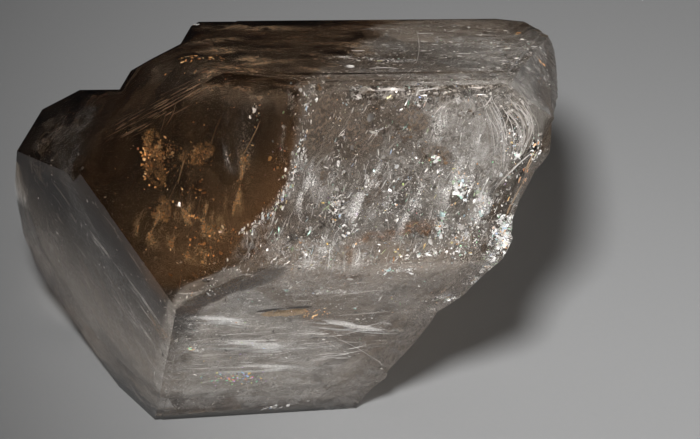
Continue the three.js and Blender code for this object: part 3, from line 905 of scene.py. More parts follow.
# Clusters of flakes: a name, its colours, how metallic and how rough it is, then its places, each
# with a half width, a half height, a count and a size.
CLUSTERS = [
    ("gold", LEAF_STOPS, 0.45, 0.45, [
        ((-19.4, -19.2, 56.8), 1.1, 3.6, 170, 0.19),
        ((-17.6, -19.7, 57.8), 1.9, 2.0, 150, 0.19),
        ((-15.6, -20.2, 59.2), 1.2, 1.2, 60, 0.13),
        ((-10.4, -23.3, 59.7), 2.4, 1.4, 110, 0.13),
        ((-16.8, -23.3, 49.3), 2.4, 1.5, 100, 0.13),
        ((-11.7, -28.7, 51.1), 2.0, 0.6, 16, 0.2),
        ((-3.2, -29.4, 61.1), 1.6, 1.5, 22, 0.16),
        ((-13, -24, 55), 7.0, 6.0, 70, 0.16),
        ((-8, -31, 49), 4.5, 2.5, 60, 0.16),
        ((41, 18.6, 59.5), 0.6, 2.0, 8, 0.3),
        ((43, -3.4, 66), 0.5, 1.0, 6, 0.25),
        ((-12, -12, 71), 7.0, 2.5, 50, 0.25),
        ((6.4, -30.6, 34.6), 3.4, 2.0, 44, 0.17),
    ]),
    ("white", SILVER_STOPS, 0.5, 0.4, [
        ((-7.3, -31.7, 51.1), 0.7, 0.7, 14, 0.3),
        ((-14.5, -26.1, 52.1), 0.3, 0.3, 5, 0.22),
        ((-1.9, -27.4, 69.7), 0.8, 1.3, 26, 0.15),
        ((-1, -9, 2.2), 1.9, 0.7, 40, 0.2),
        ((-13.6, -26.2, 24.6), 1.3, 0.7, 26, 0.22),
        ((-8, -30.8, 32.8), 5.0, 0.8, 40, 0.15),
        ((-9.5, -37.2, 43.2), 4.5, 1.6, 60, 0.13),
        ((35.7, -35.6, 50.2), 1.9, 3.0, 190, 0.15),
        ((36.6, -35.0, 53.2), 1.2, 2.2, 80, 0.14),
        ((36.6, -34.6, 50.8), 1.0, 1.8, 60, 0.2),
        ((34.6, -33.6, 46), 1.6, 2.0, 70, 0.16),
        ((25.2, -36.4, 66.4), 0.7, 0.9, 24, 0.2),
        ((29, -35.6, 60.8), 1.1, 2.4, 90, 0.2),
        ((32.6, -33.8, 57.9), 1.0, 1.4, 60, 0.22),
        ((26, -36, 54.6), 1.2, 2.6, 100, 0.2),
        ((9.8, -37, 58.8), 1.3, 3.4, 110, 0.18),
        ((20.3, -36, 46.5), 3.2, 1.0, 90, 0.18),
        ((5, -36, 49.8), 1.4, 2.0, 60, 0.17),
        ((38, -32.8, 65), 0.4, 0.5, 10, 0.3),
        ((-15.3, 26.5, 57.5), 0.9, 0.8, 60, 0.22),
        ((33, -31.2, 41), 2.4, 2.4, 160, 0.15),
        ((28.3, -28.8, 36.5), 3.2, 1.6, 110, 0.13),
        ((30, -36, 52), 3.5, 3.5, 200, 0.12),
        ((37.5, -32.5, 68), 2.2, 4.5, 120, 0.11),
        ((27, -38, 60), 7.0, 7.0, 260, 0.1),
        ((40.6, -32.6, 66), 0.9, 2.2, 36, 0.16),
        ((24.8, -34, 65.5), 1.2, 1.0, 24, 0.16),
        ((32.6, -33.5, 57), 1.0, 2.6, 70, 0.17),
        ((30, -34, 60), 1.2, 3.0, 50, 0.15),
        ((36, -32, 53), 1.6, 3.2, 60, 0.16),
        ((12, -36.5, 55), 1.2, 3.0, 50, 0.15),
        ((9, -36, 50), 2.5, 1.6, 50, 0.15),
        ((24, -37, 49.5), 6.0, 1.2, 90, 0.14),
        ((18, -37, 59), 3.5, 3.0, 70, 0.13),
    ]),
    ("dark", DARK_STOPS, 0.0, 0.5, [
        ((24.5, -35.5, 53.2), 3.2, 1.8, 60, 0.22),
        ((20, -36, 71), 2.6, 2.4, 60, 0.2),
        ((25, -35.5, 67), 2.4, 1.8, 45, 0.2),
        ((30, -35, 73), 2.0, 1.4, 30, 0.2),
        ((8.8, -29.6, 75.0), 0.7, 0.4, 5, 0.5),
        ((13, -35, 45.5), 2.4, 0.6, 40, 0.25),
    ]),
    ("prism", PRISM_STOPS, 0.2, 0.4, [
        ((-7, -18.1, 13.8), 5.2, 2.6, 190, 0.15),
        ((20, -36, 60), 16, 12, 70, 0.11),
        ((2, -23.6, 22), 12, 7, 60, 0.12),
        ((1, -31, 63), 1.5, 4.0, 8, 0.2),
    ]),
]


# ---------------------------------------------------------------- materials


def clear_quartz(settings):
    """Clear quartz. Lamps shine straight into it, dimmed by its lamp tint. The break is finely
    shelly, and the top and its bevels are built of steps too fine to see that look to the
    front."""
    s = Shader("clear quartz")
    broken = s.beyond((0.85, -0.1, -0.52), 0.0).over(4.0, 7.0)
    shells = s.noise(s.drawn_out((0.1, 0.6, -0.8), 2.0), 420.0, detail=4, roughness=0.6)
    relief = broken * (1 - (shells - 0.5).size() * 4)
    stepped = s.looks(unit(TOP_FACE[0])).over(0.97, 0.995) * 1.8
    stepped = stepped.most(s.looks(unit(BACK_BEVEL)).over(0.96, 0.99) * 7.0)
    stepped = stepped.most(s.looks(unit(LEFT_BEVEL)).over(0.96, 0.99) * 6.0)
    normal = s.bump(relief, 0.5, 0.0006, s.leaning(unit(FRONT), stepped))
    glass = s.principled(Base_Color=(1.0, 1.0, 1.0), Roughness=0.0, IOR=settings.ior,
                         Transmission_Weight=1.0, Normal=normal)
    surface = s.blend(s.lamp_ray(), glass, s.open_way(settings.lamp_tint))
    return s.finish(surface, s.depth_tint(settings.body_tint, settings.body_density))


def smoke(name, colour, density):
    """Smoke: nothing at its surface, brown absorption inside."""
    s = Shader(name)
    return s.finish(s.open_way(), s.depth_tint(colour, density))


def film(name, dark, light, cover, grain, stretch=1.0, sharp=(0.42, 0.66), specks=0.5,
         metal=0.0, rough=0.5, crinkle=0.5, fade=0.75, lean=0.0):
    """A healed fracture's film. It is there where streaked noise is high, finer specks break it
    up, and it fades out at the rim; its colour wanders between a dark and a light one."""
    s = Shader(name)
    level = s.place(uv=True)
    streaks = s.noise(s.place(scale=(1, stretch, 1), uv=True), grain, detail=7, roughness=0.62,
                      distortion=0.5)
    dots = s.noise(level, grain * 8, detail=2, roughness=0.6)
    rim = 1 - s.attribute("rim").over(fade, 1.0)
    there = streaks.over(*sharp) * ((1 - specks) + specks * dots.over(0.45, 0.6)) * rim
    creased = s.bump(s.noise(level, grain * 4, detail=4), crinkle, 0.0006,
                     s.leaning(unit(FRONT), lean))
    platelets = s.principled(Base_Color=s.mix(dots.over(0.35, 0.65), dark, light), Metallic=metal,
                             Roughness=rough, Specular_IOR_Level=0.2, Normal=creased)
    return s.finish(s.blend((there * cover).clamp(), s.open_way(), platelets))


def leaf_film(name):
    """The film of that name in the table of films."""
    dark, light, cover, grain, look = FILMS[name]
    return film(name, dark, light, cover, grain, **look)


def cloud(name, settings, cover, smoke_cover, base, grain, turn):
    """A veil that follows the skin, of fine platelets that lean to the front. It is brown in the
    smoke, with gold toward the keel, grey in the clear end and pale under the foot faces; its
    cover is a base, plus streaks, plus thin creases. Where one tone gives way to the next is a
    distance past a face or a limit, in millimetres, made uneven by broad noise."""
    s = Shader(name)
    drawn = s.drawn_out(STREAK, 2.4)
    level = s.place(turn=(turn, 0.3 * turn, 0.0))
    streaks = s.noise(drawn, grain, detail=8, roughness=0.66, distortion=0.4)
    broad = s.noise(level, grain * 0.2, detail=4, roughness=0.55)
    dots = s.noise(level, grain * 6, detail=3, roughness=0.6)
    lines = s.creases(drawn, grain * 1.4, 0.03).most(s.creases(level, grain * 0.9, 0.02))

    side = s.beyond(*SMOKE_SIDE).most(s.beyond(*SMOKE_CORNER))
    roof = s.beyond(*TOP_FACE).over(-6.5, -1.6)
    clear = (side + (broad - 0.5) * (4 + 16 * roof)).over(-0.4, 0.8)
    foot = s.beyond(*FOOT_FACE).most(s.beyond(*LEFT_FOOT_FACE))
    foot = foot - s.beyond(*SMOKY_FACE).most(s.beyond(*CLEAR_FACE))
    gold = (s.beyond(*SMOKE_KEEL) + (broad - 0.5) * 12).over(-13.0, 1.0)
    left = (s.beyond(*LEFT_FOOT_FACE) - s.beyond(*FOOT_FACE)).over(-1.0, 1.0)
    drawn_in = (left * 3.0).most((1 - s.beyond(*SMOKE_SIDE).over(-6.0, 2.0)) * 1.8)
    foot = (foot - drawn_in).over(-0.3, 0.6)
    gloom = left * s.beyond((0.0, 0.0, 1.0), 0.0).over(10.0, 42.0)

    tone = streaks.over(0.38, 0.64) * 0.5 + dots.over(0.35, 0.65) * 0.3 + broad.over(0.35, 0.65) * 0.2
    grey = s.mix(tone, settings.clear_dark, settings.clear_light)
    shade = 1 - (s.beyond((0.7, 0.0, -0.7), 0.0) + (broad - 0.5) * 20).over(-46.0, -18.0)
    grey = s.mix(shade * 0.75, grey, settings.clear_shade)
    # Painted light: toward the lower right end the veils turn to a lighter tone, and more so near the
    # top face.
    end = (s.beyond((1.0, 0.0, -0.35), 0.0) + (broad - 0.5) * 8).over(0.0, 18.0)
    lit = s.mix(tone, settings.clear_light, settings.foot_light)
    grey = s.mix(end * (0.26 + 0.68 * roof), grey, lit)
    wedge = (s.beyond(*SMOKE_CORNER) + (broad - 0.5) * 3).over(-0.5, 1.0)
    wedge = wedge * (1 - s.beyond(*SMOKE_SIDE).over(-4.0, 2.0))
    grey = s.mix(wedge * 0.95, grey, s.mix(tone, settings.clear_shade, settings.smoke_gold))
    brown = s.mix(gold, settings.smoke_dark, settings.smoke_gold)
    brown = s.mix(roof * streaks.over(0.36, 0.6) * 0.9, brown, settings.foot_tan)
    brown = s.mix(tone * 0.7, brown, s.mix(0.55, brown, settings.smoke_gold))
    pale = s.mix(tone, settings.foot_dark, settings.foot_light)
    tan = (s.beyond((1.0, 0.0, -0.3), 0.0) + (broad - 0.5) * 16).over(-2.0, 12.0) * 0.5
    facet = (s.beyond((0.82, -0.02, 0.57), 22.0) + (broad - 0.5) * 3).over(-0.3, 0.5) * 0.75
    stain = left * (streaks.over(0.42, 0.6) * 0.4 + 0.26)
    pale = s.mix(tan.most(facet).most(stain), pale, settings.foot_tan)
    pale = s.mix(gloom, pale, settings.foot_gloom)
    colour = s.mix(foot, s.mix(clear, brown, grey), pale)
    bright = s.mix(clear.most(foot), settings.smoke_gold, settings.silver)
    colour = s.mix(lines * broad.over(0.53, 0.62) * 0.2, colour, bright)

    open_end = clear.most(foot)
    there = base + (1 - base) * streaks.over(0.46, 0.62) * (0.35 + 0.65 * dots.over(0.4, 0.6))
    there = there.most(lines * broad.over(0.53, 0.62)) * (smoke_cover + (cover - smoke_cover) * open_end)
    normal = s.bump(dots, 0.5, 0.0004, s.leaning(unit(FRONT), 1.6))
    platelets = s.principled(Base_Color=colour, Roughness=0.6, Specular_IOR_Level=0.05, Normal=normal)
    return s.finish(s.blend(there.clamp(), s.open_way(), platelets))


def air_gap(name, ior):
    """The air in an open crack, which lamps shine through."""
    s = Shader(name)
    glass = s.node("ShaderNodeBsdfGlass", None, {"Roughness": 0.0, "IOR": 1 / ior})
    return s.finish(s.blend(s.lamp_ray(), glass.outputs[0], s.open_way((0.97, 0.97, 0.97))))


def flake_finish(name, stops, metal=0.9, rough=0.28):
    """Flakes that each take one colour of a ramp."""
    s = Shader(name)
    ramp = s.node("ShaderNodeValToRGB", {"ramp": stops}, {"Fac": s.attribute("tint")})
    return s.finish(s.principled(Base_Color=ramp.outputs[0], Metallic=metal, Roughness=rough))


def pale_card(settings):
    s = Shader("pale card")
    grain = s.noise(s.place(), 900.0, detail=3)
    tone = settings.floor_tone
    colour = s.mix(grain, tuple(0.97 * c for c in tone), tone)
    return s.finish(s.principled(Base_Color=colour, Roughness=0.7, Specular_IOR_Level=0.2))


# ---------------------------------------------------------------- settings


def tone(name, description, default):
    return FloatVectorProperty(
        name=name, description=description, subtype="COLOR", default=default, min=0, max=1
    )


def number(name, description, default, unit="NONE"):
    return FloatProperty(name=name, description=description, default=default, unit=unit)


class CrystalSettings(PropertyGroup):
    ior: number("IOR", "Refractive index of quartz", 1.544)
    body_tint: tone("Body tint", "Colour of the clear quartz in depth", (0.8, 0.7, 0.58))
    body_density: number("Body density", "Strength of the body tint per metre", 16.0)
    lamp_tint: tone("Lamp tint", "Share of a lamp's light let in at the skin", (0.26, 0.25, 0.24))


class SmokeSettings(PropertyGroup):
    smoke_tint: tone("Smoke tint", "Colour of the smoke in depth", (0.55, 0.4, 0.22))
    smoke_density: number("Smoke density", "Strength of all the smoke together", 95.0)


class VeilSettings(PropertyGroup):
    silver: tone("Silver", "Colour of a bare fracture", (0.95, 0.95, 0.95))
    clear_dark: tone("Clear end, dark", "Dark parts of its veils", (0.045, 0.036, 0.029))
    clear_light: tone("Clear end, light", "Light parts of its veils", (0.25, 0.236, 0.218))
    clear_shade: tone("Clear end, shaded", "Its veils at the upper left", (0.075, 0.052, 0.034))
    smoke_dark: tone("Smoke, dark", "Dark parts of its veils", (0.003, 0.0018, 0.001))
    smoke_gold: tone("Smoke, gold", "Golden parts of its veils", (0.115, 0.064, 0.03))
    foot_dark: tone("Foot, dark", "Dark parts of the veils under the foot faces", (0.315, 0.297, 0.276))
    foot_light: tone("Foot, light", "Light parts of these veils", (0.6, 0.58, 0.553))
    foot_tan: tone("Foot, tan", "Stained veils at the right of the foot", (0.24, 0.19, 0.145))
    foot_gloom: tone("Foot, gloom", "The veils at the top of the left foot face", (0.022, 0.013, 0.007))


class FlakeSettings(PropertyGroup):
    clear_count: IntProperty(name="Clear flakes", description="Flakes in the clear end", default=5000)
    smoke_count: IntProperty(name="Smoke flakes", description="Flakes in the smoke", default=500)


class StageSettings(PropertyGroup):
    floor_size: number("Floor size", "Side of the square floor", 6.0, "LENGTH")
    floor_tone: tone("Floor tone", "Colour of the card floor", (0.25, 0.25, 0.25))
    key_power: number("Key power", "Key lamp in watts", 24.4)
    side_power: number("Side power", "Side lamp in watts", 0.65)
    sky: number("Sky", "Strength of the even light", 0.019)


# ---------------------------------------------------------------- operators


# Points of the cut body nearer than this are one, in metres; flatter edges than this are smooth.
WELD = 2e-6
SHARP_EDGE = math.radians(9)


class HERKIMER_OT_body(Operator):
    """Puts a welded body with flat shaded faces in the place of the cut one"""

    bl_idname = "herkimer.body"
    bl_label = "Crystal body"

    def execute(self, context):
        settings = context.scene.herkimer_crystal
        shape = bmesh.new()
        shape.from_mesh(CRYSTAL.data)
        bmesh.ops.remove_doubles(shape, verts=shape.verts, dist=WELD)
        for face in shape.faces:
            face.smooth = True
        for edge in shape.edges:
            edge.smooth = edge.calc_face_angle(0.0) < SHARP_EDGE
        mesh = bpy.data.meshes.new("crystal_body")
        shape.to_mesh(mesh)
        shape.free()
        body = add_piece("crystal_body", mesh, clear_quartz(settings))
        flats = body.modifiers.new("flat faces", "WEIGHTED_NORMAL")
        flats.mode = "FACE_AREA"
        flats.keep_sharp = True
        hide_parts("crystal")
        return {"FINISHED"}


# Shells of smoke: margin under the skin, how far the keel and the foot limits are drawn in, and
# the share of the whole density.
SMOKE_SHELLS = [(0.7, 0.0, 0.0, 0.35), (1.2, 2.0, 7.0, 0.3), (2.4, 5.0, 14.0, 0.35)]


class HERKIMER_OT_smoke(Operator):
    """Puts the brown smoke into the left of the crystal, in shells that fade into each other"""

    bl_idname = "herkimer.smoke"
    bl_label = "Smoke"

    def execute(self, context):
        settings = context.scene.herkimer_smoke
        tint = settings.smoke_tint
        main = Skin(SMOKE_HEART)
        for i, (margin, keel, foot, share) in enumerate(SMOKE_SHELLS):
            brown = smoke(f"smoke {i}", tint, settings.smoke_density * share)
            cuts = [(SMOKE_SIDE, -0.25 * i), (SMOKE_CORNER, -0.25 * i), (SMOKE_KEEL, 6.0 - keel),
                    (SMOKE_FOOT, 8.0 - foot)]
            main.shell(f"smoke_main_{i}", brown, margin, cuts, shade=True)
            inner = [((0.8, 0.0, 0.0), -24.6 - 0.5 * i), ((-0.3, -0.4, -0.866), -18 - foot * 0.4)]
            SIDE_SKIN.shell(f"smoke_side_{i}", brown, margin, [(cut, 0.0) for cut in inner], shade=True)
        return {"FINISHED"}


# Veils from the skin inward: margin, cover, cover in the smoke, base, grain and turn.
VEIL_LAYERS = [
    (1.3, 0.3, 0.02, 0.0, 330, 0.0),
    (4.0, 0.45, 0.08, 0.05, 260, 0.7),
    (9.0, 0.9, 0.85, 0.7, 170, 1.6),
]


class HERKIMER_OT_clouds(Operator):
    """Lays veils under the faces, one behind the other, and closes them with a dense heart"""

    bl_idname = "herkimer.clouds"
    bl_label = "Veils"

    def execute(self, context):
        settings = context.scene.herkimer_veils
        for i, (margin, *look) in enumerate(VEIL_LAYERS):
            veil = cloud(f"veil {i}", settings, *look)
            MAIN_SKIN.shell(f"veil_main_{i}", veil, margin)
            SIDE_SKIN.shell(f"veil_side_{i}", veil, margin)
        return {"FINISHED"}


class HERKIMER_OT_fractures(Operator):
    """Hangs silvery healed fractures in the clear end, with glints along them"""

    bl_idname = "herkimer.fractures"
    bl_label = "Fractures"

    def execute(self, context):
        rng = np.random.default_rng(11)
        silver = leaf_film("silver fracture")
        air = air_gap("air gap", context.scene.herkimer_crystal.ior)
        places, ways = [], []
        homes = rng.uniform((4, -34, 30), (40, 12, 72), (400, 3))
        homes = homes[inside(homes, 2.5) & in_clear(homes)]
        for i in range(24):
            out = unit(rng.normal(size=3) * 0.8 + 0.6 * FRONT)
            leaf = Fracture(homes[i], out, rng.uniform(4, 11, 2), rng.uniform(-2, 2),
                            turn=rng.uniform(0, 180), crumple=0.5, seed=20 + i)
            leaf.leaf(f"fracture_{i:02d}", silver)
            places.append(leaf.scatter(110, rng))
            ways.append(np.tile(out, (110, 1)))
        for i in range(14):
            out = unit(rng.normal(size=3) + 0.5 * FRONT)
            leaf = Fracture(homes[30 + i], out, rng.uniform(2.5, 7, 2), rng.uniform(-1.5, 1.5),
                            turn=rng.uniform(0, 180), crumple=0.6, gap=1.2, seed=60 + i)
            leaf.open_crack(f"crack_{i:02d}", air)
        places = np.concatenate(places)
        ways = unit(np.concatenate(ways) + rng.normal(0, 0.5, places.shape))
        kept = inside(places, 0.5)
        places, ways = places[kept], ways[kept]
        glints = flake_finish("glints", SILVER_STOPS)
        flake_field("fracture_glints", glints, places, ways, logs(len(places), rng, 0.16), rng)
        return {"FINISHED"}


class HERKIMER_OT_flakes(Operator):
    """Scatters silvery flakes through the clear end, and golden ones through the smoke"""

    bl_idname = "herkimer.flakes"
    bl_label = "Flakes"

    def execute(self, context):
        settings = context.scene.herkimer_flakes
        rng = np.random.default_rng(7)
        finishes = {
            "silver": flake_finish("silver flakes", SILVER_STOPS),
            "gold": flake_finish("gold flakes", GOLD_STOPS),
            "grey": flake_finish("platelets", PLATELET_STOPS, metal=0.1, rough=0.35),
        }
        for name, finish, home, part, size, lean, shape, along in FLAKES:
            count = settings.smoke_count if home == "smoke" else settings.clear_count // part
            face, middle, spread, depth, zone = FLAKE_HOMES[home]
            places = under_face(count, face, middle, spread, depth, rng, MAIN_SKIN, zone)
            n = len(places)
            flake_field(f"flakes_{name}", finishes[finish], places, facing(n, rng, lean),
                        logs(n, rng, size), rng, along, shape)
        return {"FINISHED"}


class HERKIMER_OT_marks(Operator):
    """Sets the single features of the crystal: gold leaves, bright glints, stains and a bubble"""

    bl_idname = "herkimer.marks"
    bl_label = "Single features"

    def execute(self, context):
        rng = np.random.default_rng(5)
        for name, stops, metal, rough, spots in CLUSTERS:
            finish = flake_finish(name, stops, metal, rough)
            middles, ways, sizes = [], [], []
            for middle, wide, tall, count, size in spots:
                flat = np.clip(rng.normal(0, 0.5, (count, 3)), -1.2, 1.2)
                offset = flat[:, :1] * wide * ACROSS + flat[:, 1:2] * tall * climb_at(middle)
                middles.append(np.array(middle) + offset - flat[:, 2:] * 0.8 * FRONT)
                ways.append(facing(count, rng, 2.2))
                sizes.append(logs(count, rng, size))
            middles = np.concatenate(middles)
            parts = np.array_split(middles, 1 + len(middles) // 400)
            kept = np.concatenate([inside(part, 0.15) for part in parts])
            flake_field(f"marks_{name}", finish, middles[kept], np.concatenate(ways)[kept],
                        np.concatenate(sizes)[kept], rng, None, (0.3, 0.9))
        self.front_of_smoke(rng)
        self.leaves(context)
        return {"FINISHED"}

    def front_of_smoke(self, rng):
        """Silver crumbs along the line where the smoke meets the skin."""
        path = np.array(SMOKE_LINE)
        share = rng.random(CRUMBS) * (len(path) - 1.001)
        step = share.astype(int)
        on = path[step] + (share - step)[:, None] * (path[step + 1] - path[step])
        aside = rng.normal(1.15, 0.75, (CRUMBS, 1)) * ACROSS
        middles = on + aside - rng.exponential(1.3, (CRUMBS, 1)) * FRONT - 0.4 * FRONT
        middles = middles[MAIN_SKIN.holds(middles, 0.1)]
        silver = flake_finish("front of smoke", SILVER_STOPS, 0.6, 0.35)
        ways = facing(len(middles), rng, 1.8)
        sizes = np.minimum(logs(len(middles), rng, 0.18, 0.65), 0.4)
        flake_field("front_of_smoke", silver, middles, ways, sizes, rng, (0.3, 0.1, 0.9), (0.15, 0.7))

    def leaves(self, context):
        """Films and stains under the faces, and one bubble of air."""
        self.single_leaves(SINGLE_LEAVES)
        for name, look, (way, offset), spots in FACE_LEAVES:
            way, offset = unit(way), offset / np.linalg.norm(way)
            for i, (middle, size, turn, bulge) in enumerate(spots):
                lift = (offset - 0.7 - 0.2 * i - way @ middle) * way
                Fracture(middle + lift, way + [0.02 * math.sin(i), 0, 0], size, -bulge, turn=turn,
                         ragged=0.3, gap=0.3, crumple=0.2, seed=70 + i
                         ).leaf(f"{name}_{i}", self.film_of(look))
        self.single_leaves(FOOT_STAINS)
        air = air_gap("bubble air", context.scene.herkimer_crystal.ior)
        Fracture((6.5, -2.9, 64.9), (0, -0.95, 0.3), (1.4, 1.9), ragged=0.05, seed=9
                 ).open_crack("bubble", air, width=1.6)

    def single_leaves(self, rows):
        for name, look, middle, way, size, bulge, shape in rows:
            Fracture(middle, way, size, bulge, **shape).leaf(name, self.film_of(look))

    def film_of(self, look):
        """One film for all the leaves that share a look."""
        return bpy.data.materials.get(look) or leaf_film(look)


class HERKIMER_OT_strands(Operator):
    """Draws the fine bright and brown threads under the faces"""

    bl_idname = "herkimer.strands"
    bl_label = "Threads"

    def execute(self, context):
        rng = np.random.default_rng(17)
        pale = flake_finish("pale threads", THREAD_STOPS, 0.2, 0.4)
        dull = flake_finish("dull threads", DULL_STOPS, 0.1, 0.5)
        finishes = {"pale": pale, "dull": dull}
        finishes["warm"] = flake_finish("warm threads", WARM_STOPS, 0.3, 0.4)
        for name, finish, home, count, turn, scatter, length, width in THREADS:
            face, middle, spread, depth, zone = THREAD_HOMES[home]
            starts = under_face(count, face, middle, spread, depth, rng, MAIN_SKIN, zone)
            n = len(starts)
            turns = np.radians(rng.normal(turn, scatter, n))
            along, aside = side_ways(np.tile(unit(face[0]), (n, 1)), turns)
            run = logs(n, rng, length, 0.5)[:, None]
            ends = starts + run * along - rng.normal(0, 0.08, (n, 1)) * run * unit(face[0])
            bows = rng.normal(0, 0.1, (n, 1)) * run * aside
            kept = MAIN_SKIN.holds(ends, 0.3) & MAIN_SKIN.holds((starts + ends) / 2 + bows, 0.3)
            strands(f"threads_{name}", finishes[finish], starts[kept], ends[kept], bows[kept],
                    logs(kept.sum(), rng, width, 0.4), rng)
        self.ridge(flake_finish("ridge threads", RIDGE_STOPS, 0.1, 0.5), rng)
        self.fan(pale, rng, "threads_fan", 0.045)
        self.fan(dull, rng, "threads_fan_dull", 0.13)
        tan = flake_finish("tan threads", TAN_STOPS, 0.1, 0.5)
        for name, finish, lines in (("lines_pale", pale, PALE_LINES), ("lines_tan", tan, TAN_LINES)):
            starts, bows, ends = (np.array([line[i] for line in lines], float) for i in range(3))
            widths = np.array([line[3] for line in lines])
            strands(name, finish, starts, ends, bows, widths, rng, steps=24)
        return {"FINISHED"}

    def ridge(self, finish, rng):
        """A bundle of brown growth lines that climbs across the top of the smoky face."""
        n = 70
        climb = np.array([16.0, -5.6, 12.6])
        down = np.cross(unit(SMOKY_FACE[0]), unit(climb))
        starts = np.array([-29.0, -16.6, 58.2]) + rng.random((n, 1)) * climb
        starts = starts + rng.normal(0, 1.1, (n, 1)) * down
        starts = starts - rng.exponential(0.7, (n, 1)) * unit(SMOKY_FACE[0])
        ends = starts + rng.uniform(1.5, 6, (n, 1)) * unit(climb + rng.normal(0, 0.6, (n, 3)))
        kept = MAIN_SKIN.holds(starts, 0.2) & MAIN_SKIN.holds(ends, 0.2)
        strands("threads_ridge", finish, starts[kept], ends[kept], 0 * starts[kept],
                logs(kept.sum(), rng, 0.07, 0.5), rng, steps=8)

    def fan(self, finish, rng, name, width):
        """Growth lines that open out like a fan beside the broken end."""
        n = 80
        across = rng.random((n, 1))
        starts = np.array([30.5, -34.6, 78.0]) + across * [7.0, 2.2, -0.5]
        ends = np.array([34.5, -36.4, 62.5]) + across * [5.2, 2.6, 2.5]
        shift = rng.uniform(0.0, 0.45, (n, 1))
        starts, ends = starts + shift * (ends - starts), ends - shift[::-1] * (ends - starts) * 0.5
        down = rng.exponential(0.8, (n, 1)) * np.array([0.0, 1.0, 0.0])
        bows = (0.8 + 0.9 * across) * np.array([1.0, 0.0, 0.15])
        starts, ends = starts + down, ends + down
        kept = MAIN_SKIN.holds(starts, 0.05) & MAIN_SKIN.holds(ends, 0.05)
        kept &= MAIN_SKIN.holds((starts + ends) / 2 + bows, 0.05)
        strands(name, finish, starts[kept], ends[kept], bows[kept],
                logs(kept.sum(), rng, width, 0.5), rng, steps=16)


# The camera's and the lamps' places, in metres: the camera looks down at the aim, the key lamp
# hangs over the camera and lights the floor beyond the crystal.
AIM = np.array([12.1, 1.6, 33.2]) * MM
LOOK_DOWN = math.radians(30)
CAMERA_AWAY = 0.48384
EYE = AIM + CAMERA_AWAY * np.array([0.0, -math.cos(LOOK_DOWN), math.sin(LOOK_DOWN)])
KEY_OVER, KEY_ASIDE = 0.094, -0.029
KEY_PLACE = EYE + KEY_OVER * np.array([0.0, 0.5, math.cos(LOOK_DOWN)]) + KEY_ASIDE * ACROSS
KEY_AIM = np.array([0.14, 0.185, 0.0])
SIDE_PLACE = np.array([0.6, -0.25, 0.32])


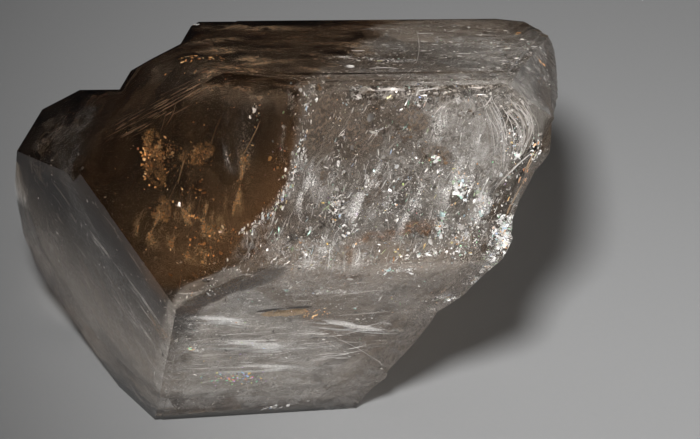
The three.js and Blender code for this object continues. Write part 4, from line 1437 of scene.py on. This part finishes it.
class HERKIMER_OT_stage(Operator):
    """Lays the pale floor and sets up the lamps and the camera"""

    bl_idname = "herkimer.stage"
    bl_label = "Stage"

    def execute(self, context):
        scene = context.scene
        settings = scene.herkimer_stage
        self.lay_floor(scene, settings)
        self.set_camera(scene)
        self.light(scene, settings)
        scene.view_settings.view_transform = "Standard"
        scene.cycles.max_bounces = 16
        scene.cycles.transmission_bounces = 16
        scene.cycles.glossy_bounces = 10
        scene.cycles.transparent_max_bounces = 48
        return {"FINISHED"}

    def lay_floor(self, scene, settings):
        side = settings.floor_size / 2
        corners = [(-side, -side, 0), (side, -side, 0), (side, side, 0), (-side, side, 0)]
        mesh = bpy.data.meshes.new("floor")
        mesh.from_pydata(corners, [], [(0, 1, 2, 3)])
        mesh.materials.append(pale_card(settings))
        floor = bpy.data.objects.new("floor", mesh)
        scene.collection.objects.link(floor)

    def set_camera(self, scene):
        data = bpy.data.cameras.new("camera")
        data.lens = 144
        data.sensor_width = 36
        data.clip_start = 0.01
        camera = bpy.data.objects.new("camera", data)
        camera.location = EYE
        camera.rotation_euler = (math.pi / 2 - LOOK_DOWN, 0, 0)
        scene.collection.objects.link(camera)
        scene.camera = camera

    def light(self, scene, settings):
        """A key lamp over the camera, a wide weak lamp at the right and an even sky."""
        key_data = bpy.data.lights.new("key lamp", "SPOT")
        key_data.shadow_soft_size = 0.028
        key_data.energy = settings.key_power
        key_data.spot_size = math.radians(54)
        key_data.spot_blend = 1.0
        key = self.hang(scene, key_data, KEY_PLACE, KEY_AIM)
        key.visible_transmission = False

        side_data = bpy.data.lights.new("side lamp", "AREA")
        side_data.shape = "DISK"
        side_data.size = 0.6
        side_data.energy = settings.side_power
        self.hang(scene, side_data, SIDE_PLACE, AIM)

        world = bpy.data.worlds.new("studio")
        world.use_nodes = True
        sky = world.node_tree.nodes["Background"].inputs
        sky["Color"].default_value = (1.0, 1.0, 1.0, 1)
        sky["Strength"].default_value = settings.sky
        scene.world = world

    def hang(self, scene, data, place, aim):
        lamp = bpy.data.objects.new(data.name, data)
        lamp.location = place
        lamp.rotation_euler = Vector(aim - place).to_track_quat("-Z", "Y").to_euler()
        scene.collection.objects.link(lamp)
        return lamp


class HERKIMER_PT_panel(Panel):
    """Lists the steps, each with its settings"""

    bl_idname = "HERKIMER_PT_panel"
    bl_label = "Herkimer diamond"
    bl_space_type = "VIEW_3D"
    bl_region_type = "UI"
    bl_category = "Herkimer"

    def draw(self, context):
        for group, operators in STEPS:
            box = self.layout.box()
            for operator in operators:
                box.operator(operator.bl_idname)
            settings = getattr(context.scene, group)
            for name in SETTINGS[group].__annotations__:
                box.prop(settings, name)


SETTINGS = {
    "herkimer_crystal": CrystalSettings,
    "herkimer_smoke": SmokeSettings,
    "herkimer_veils": VeilSettings,
    "herkimer_flakes": FlakeSettings,
    "herkimer_stage": StageSettings,
}
STEPS = [
    ("herkimer_crystal", [HERKIMER_OT_body]),
    ("herkimer_smoke", [HERKIMER_OT_smoke]),
    ("herkimer_veils", [HERKIMER_OT_clouds, HERKIMER_OT_fractures]),
    ("herkimer_flakes", [HERKIMER_OT_flakes, HERKIMER_OT_marks, HERKIMER_OT_strands]),
    ("herkimer_stage", [HERKIMER_OT_stage]),
]
OPERATORS = [operator for _, operators in STEPS for operator in operators]


def register():
    for name, group in SETTINGS.items():
        bpy.utils.register_class(group)
        setattr(bpy.types.Scene, name, PointerProperty(type=group))
    for made in [*OPERATORS, HERKIMER_PT_panel]:
        bpy.utils.register_class(made)


def unregister():
    for made in [HERKIMER_PT_panel, *reversed(OPERATORS)]:
        bpy.utils.unregister_class(made)
    for name, group in SETTINGS.items():
        delattr(bpy.types.Scene, name)
        bpy.utils.unregister_class(group)


def main():
    register()
    for operator in OPERATORS:
        family, call = operator.bl_idname.split(".")
        getattr(getattr(bpy.ops, family), call)()
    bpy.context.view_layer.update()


if __name__ == "__main__":
    main()
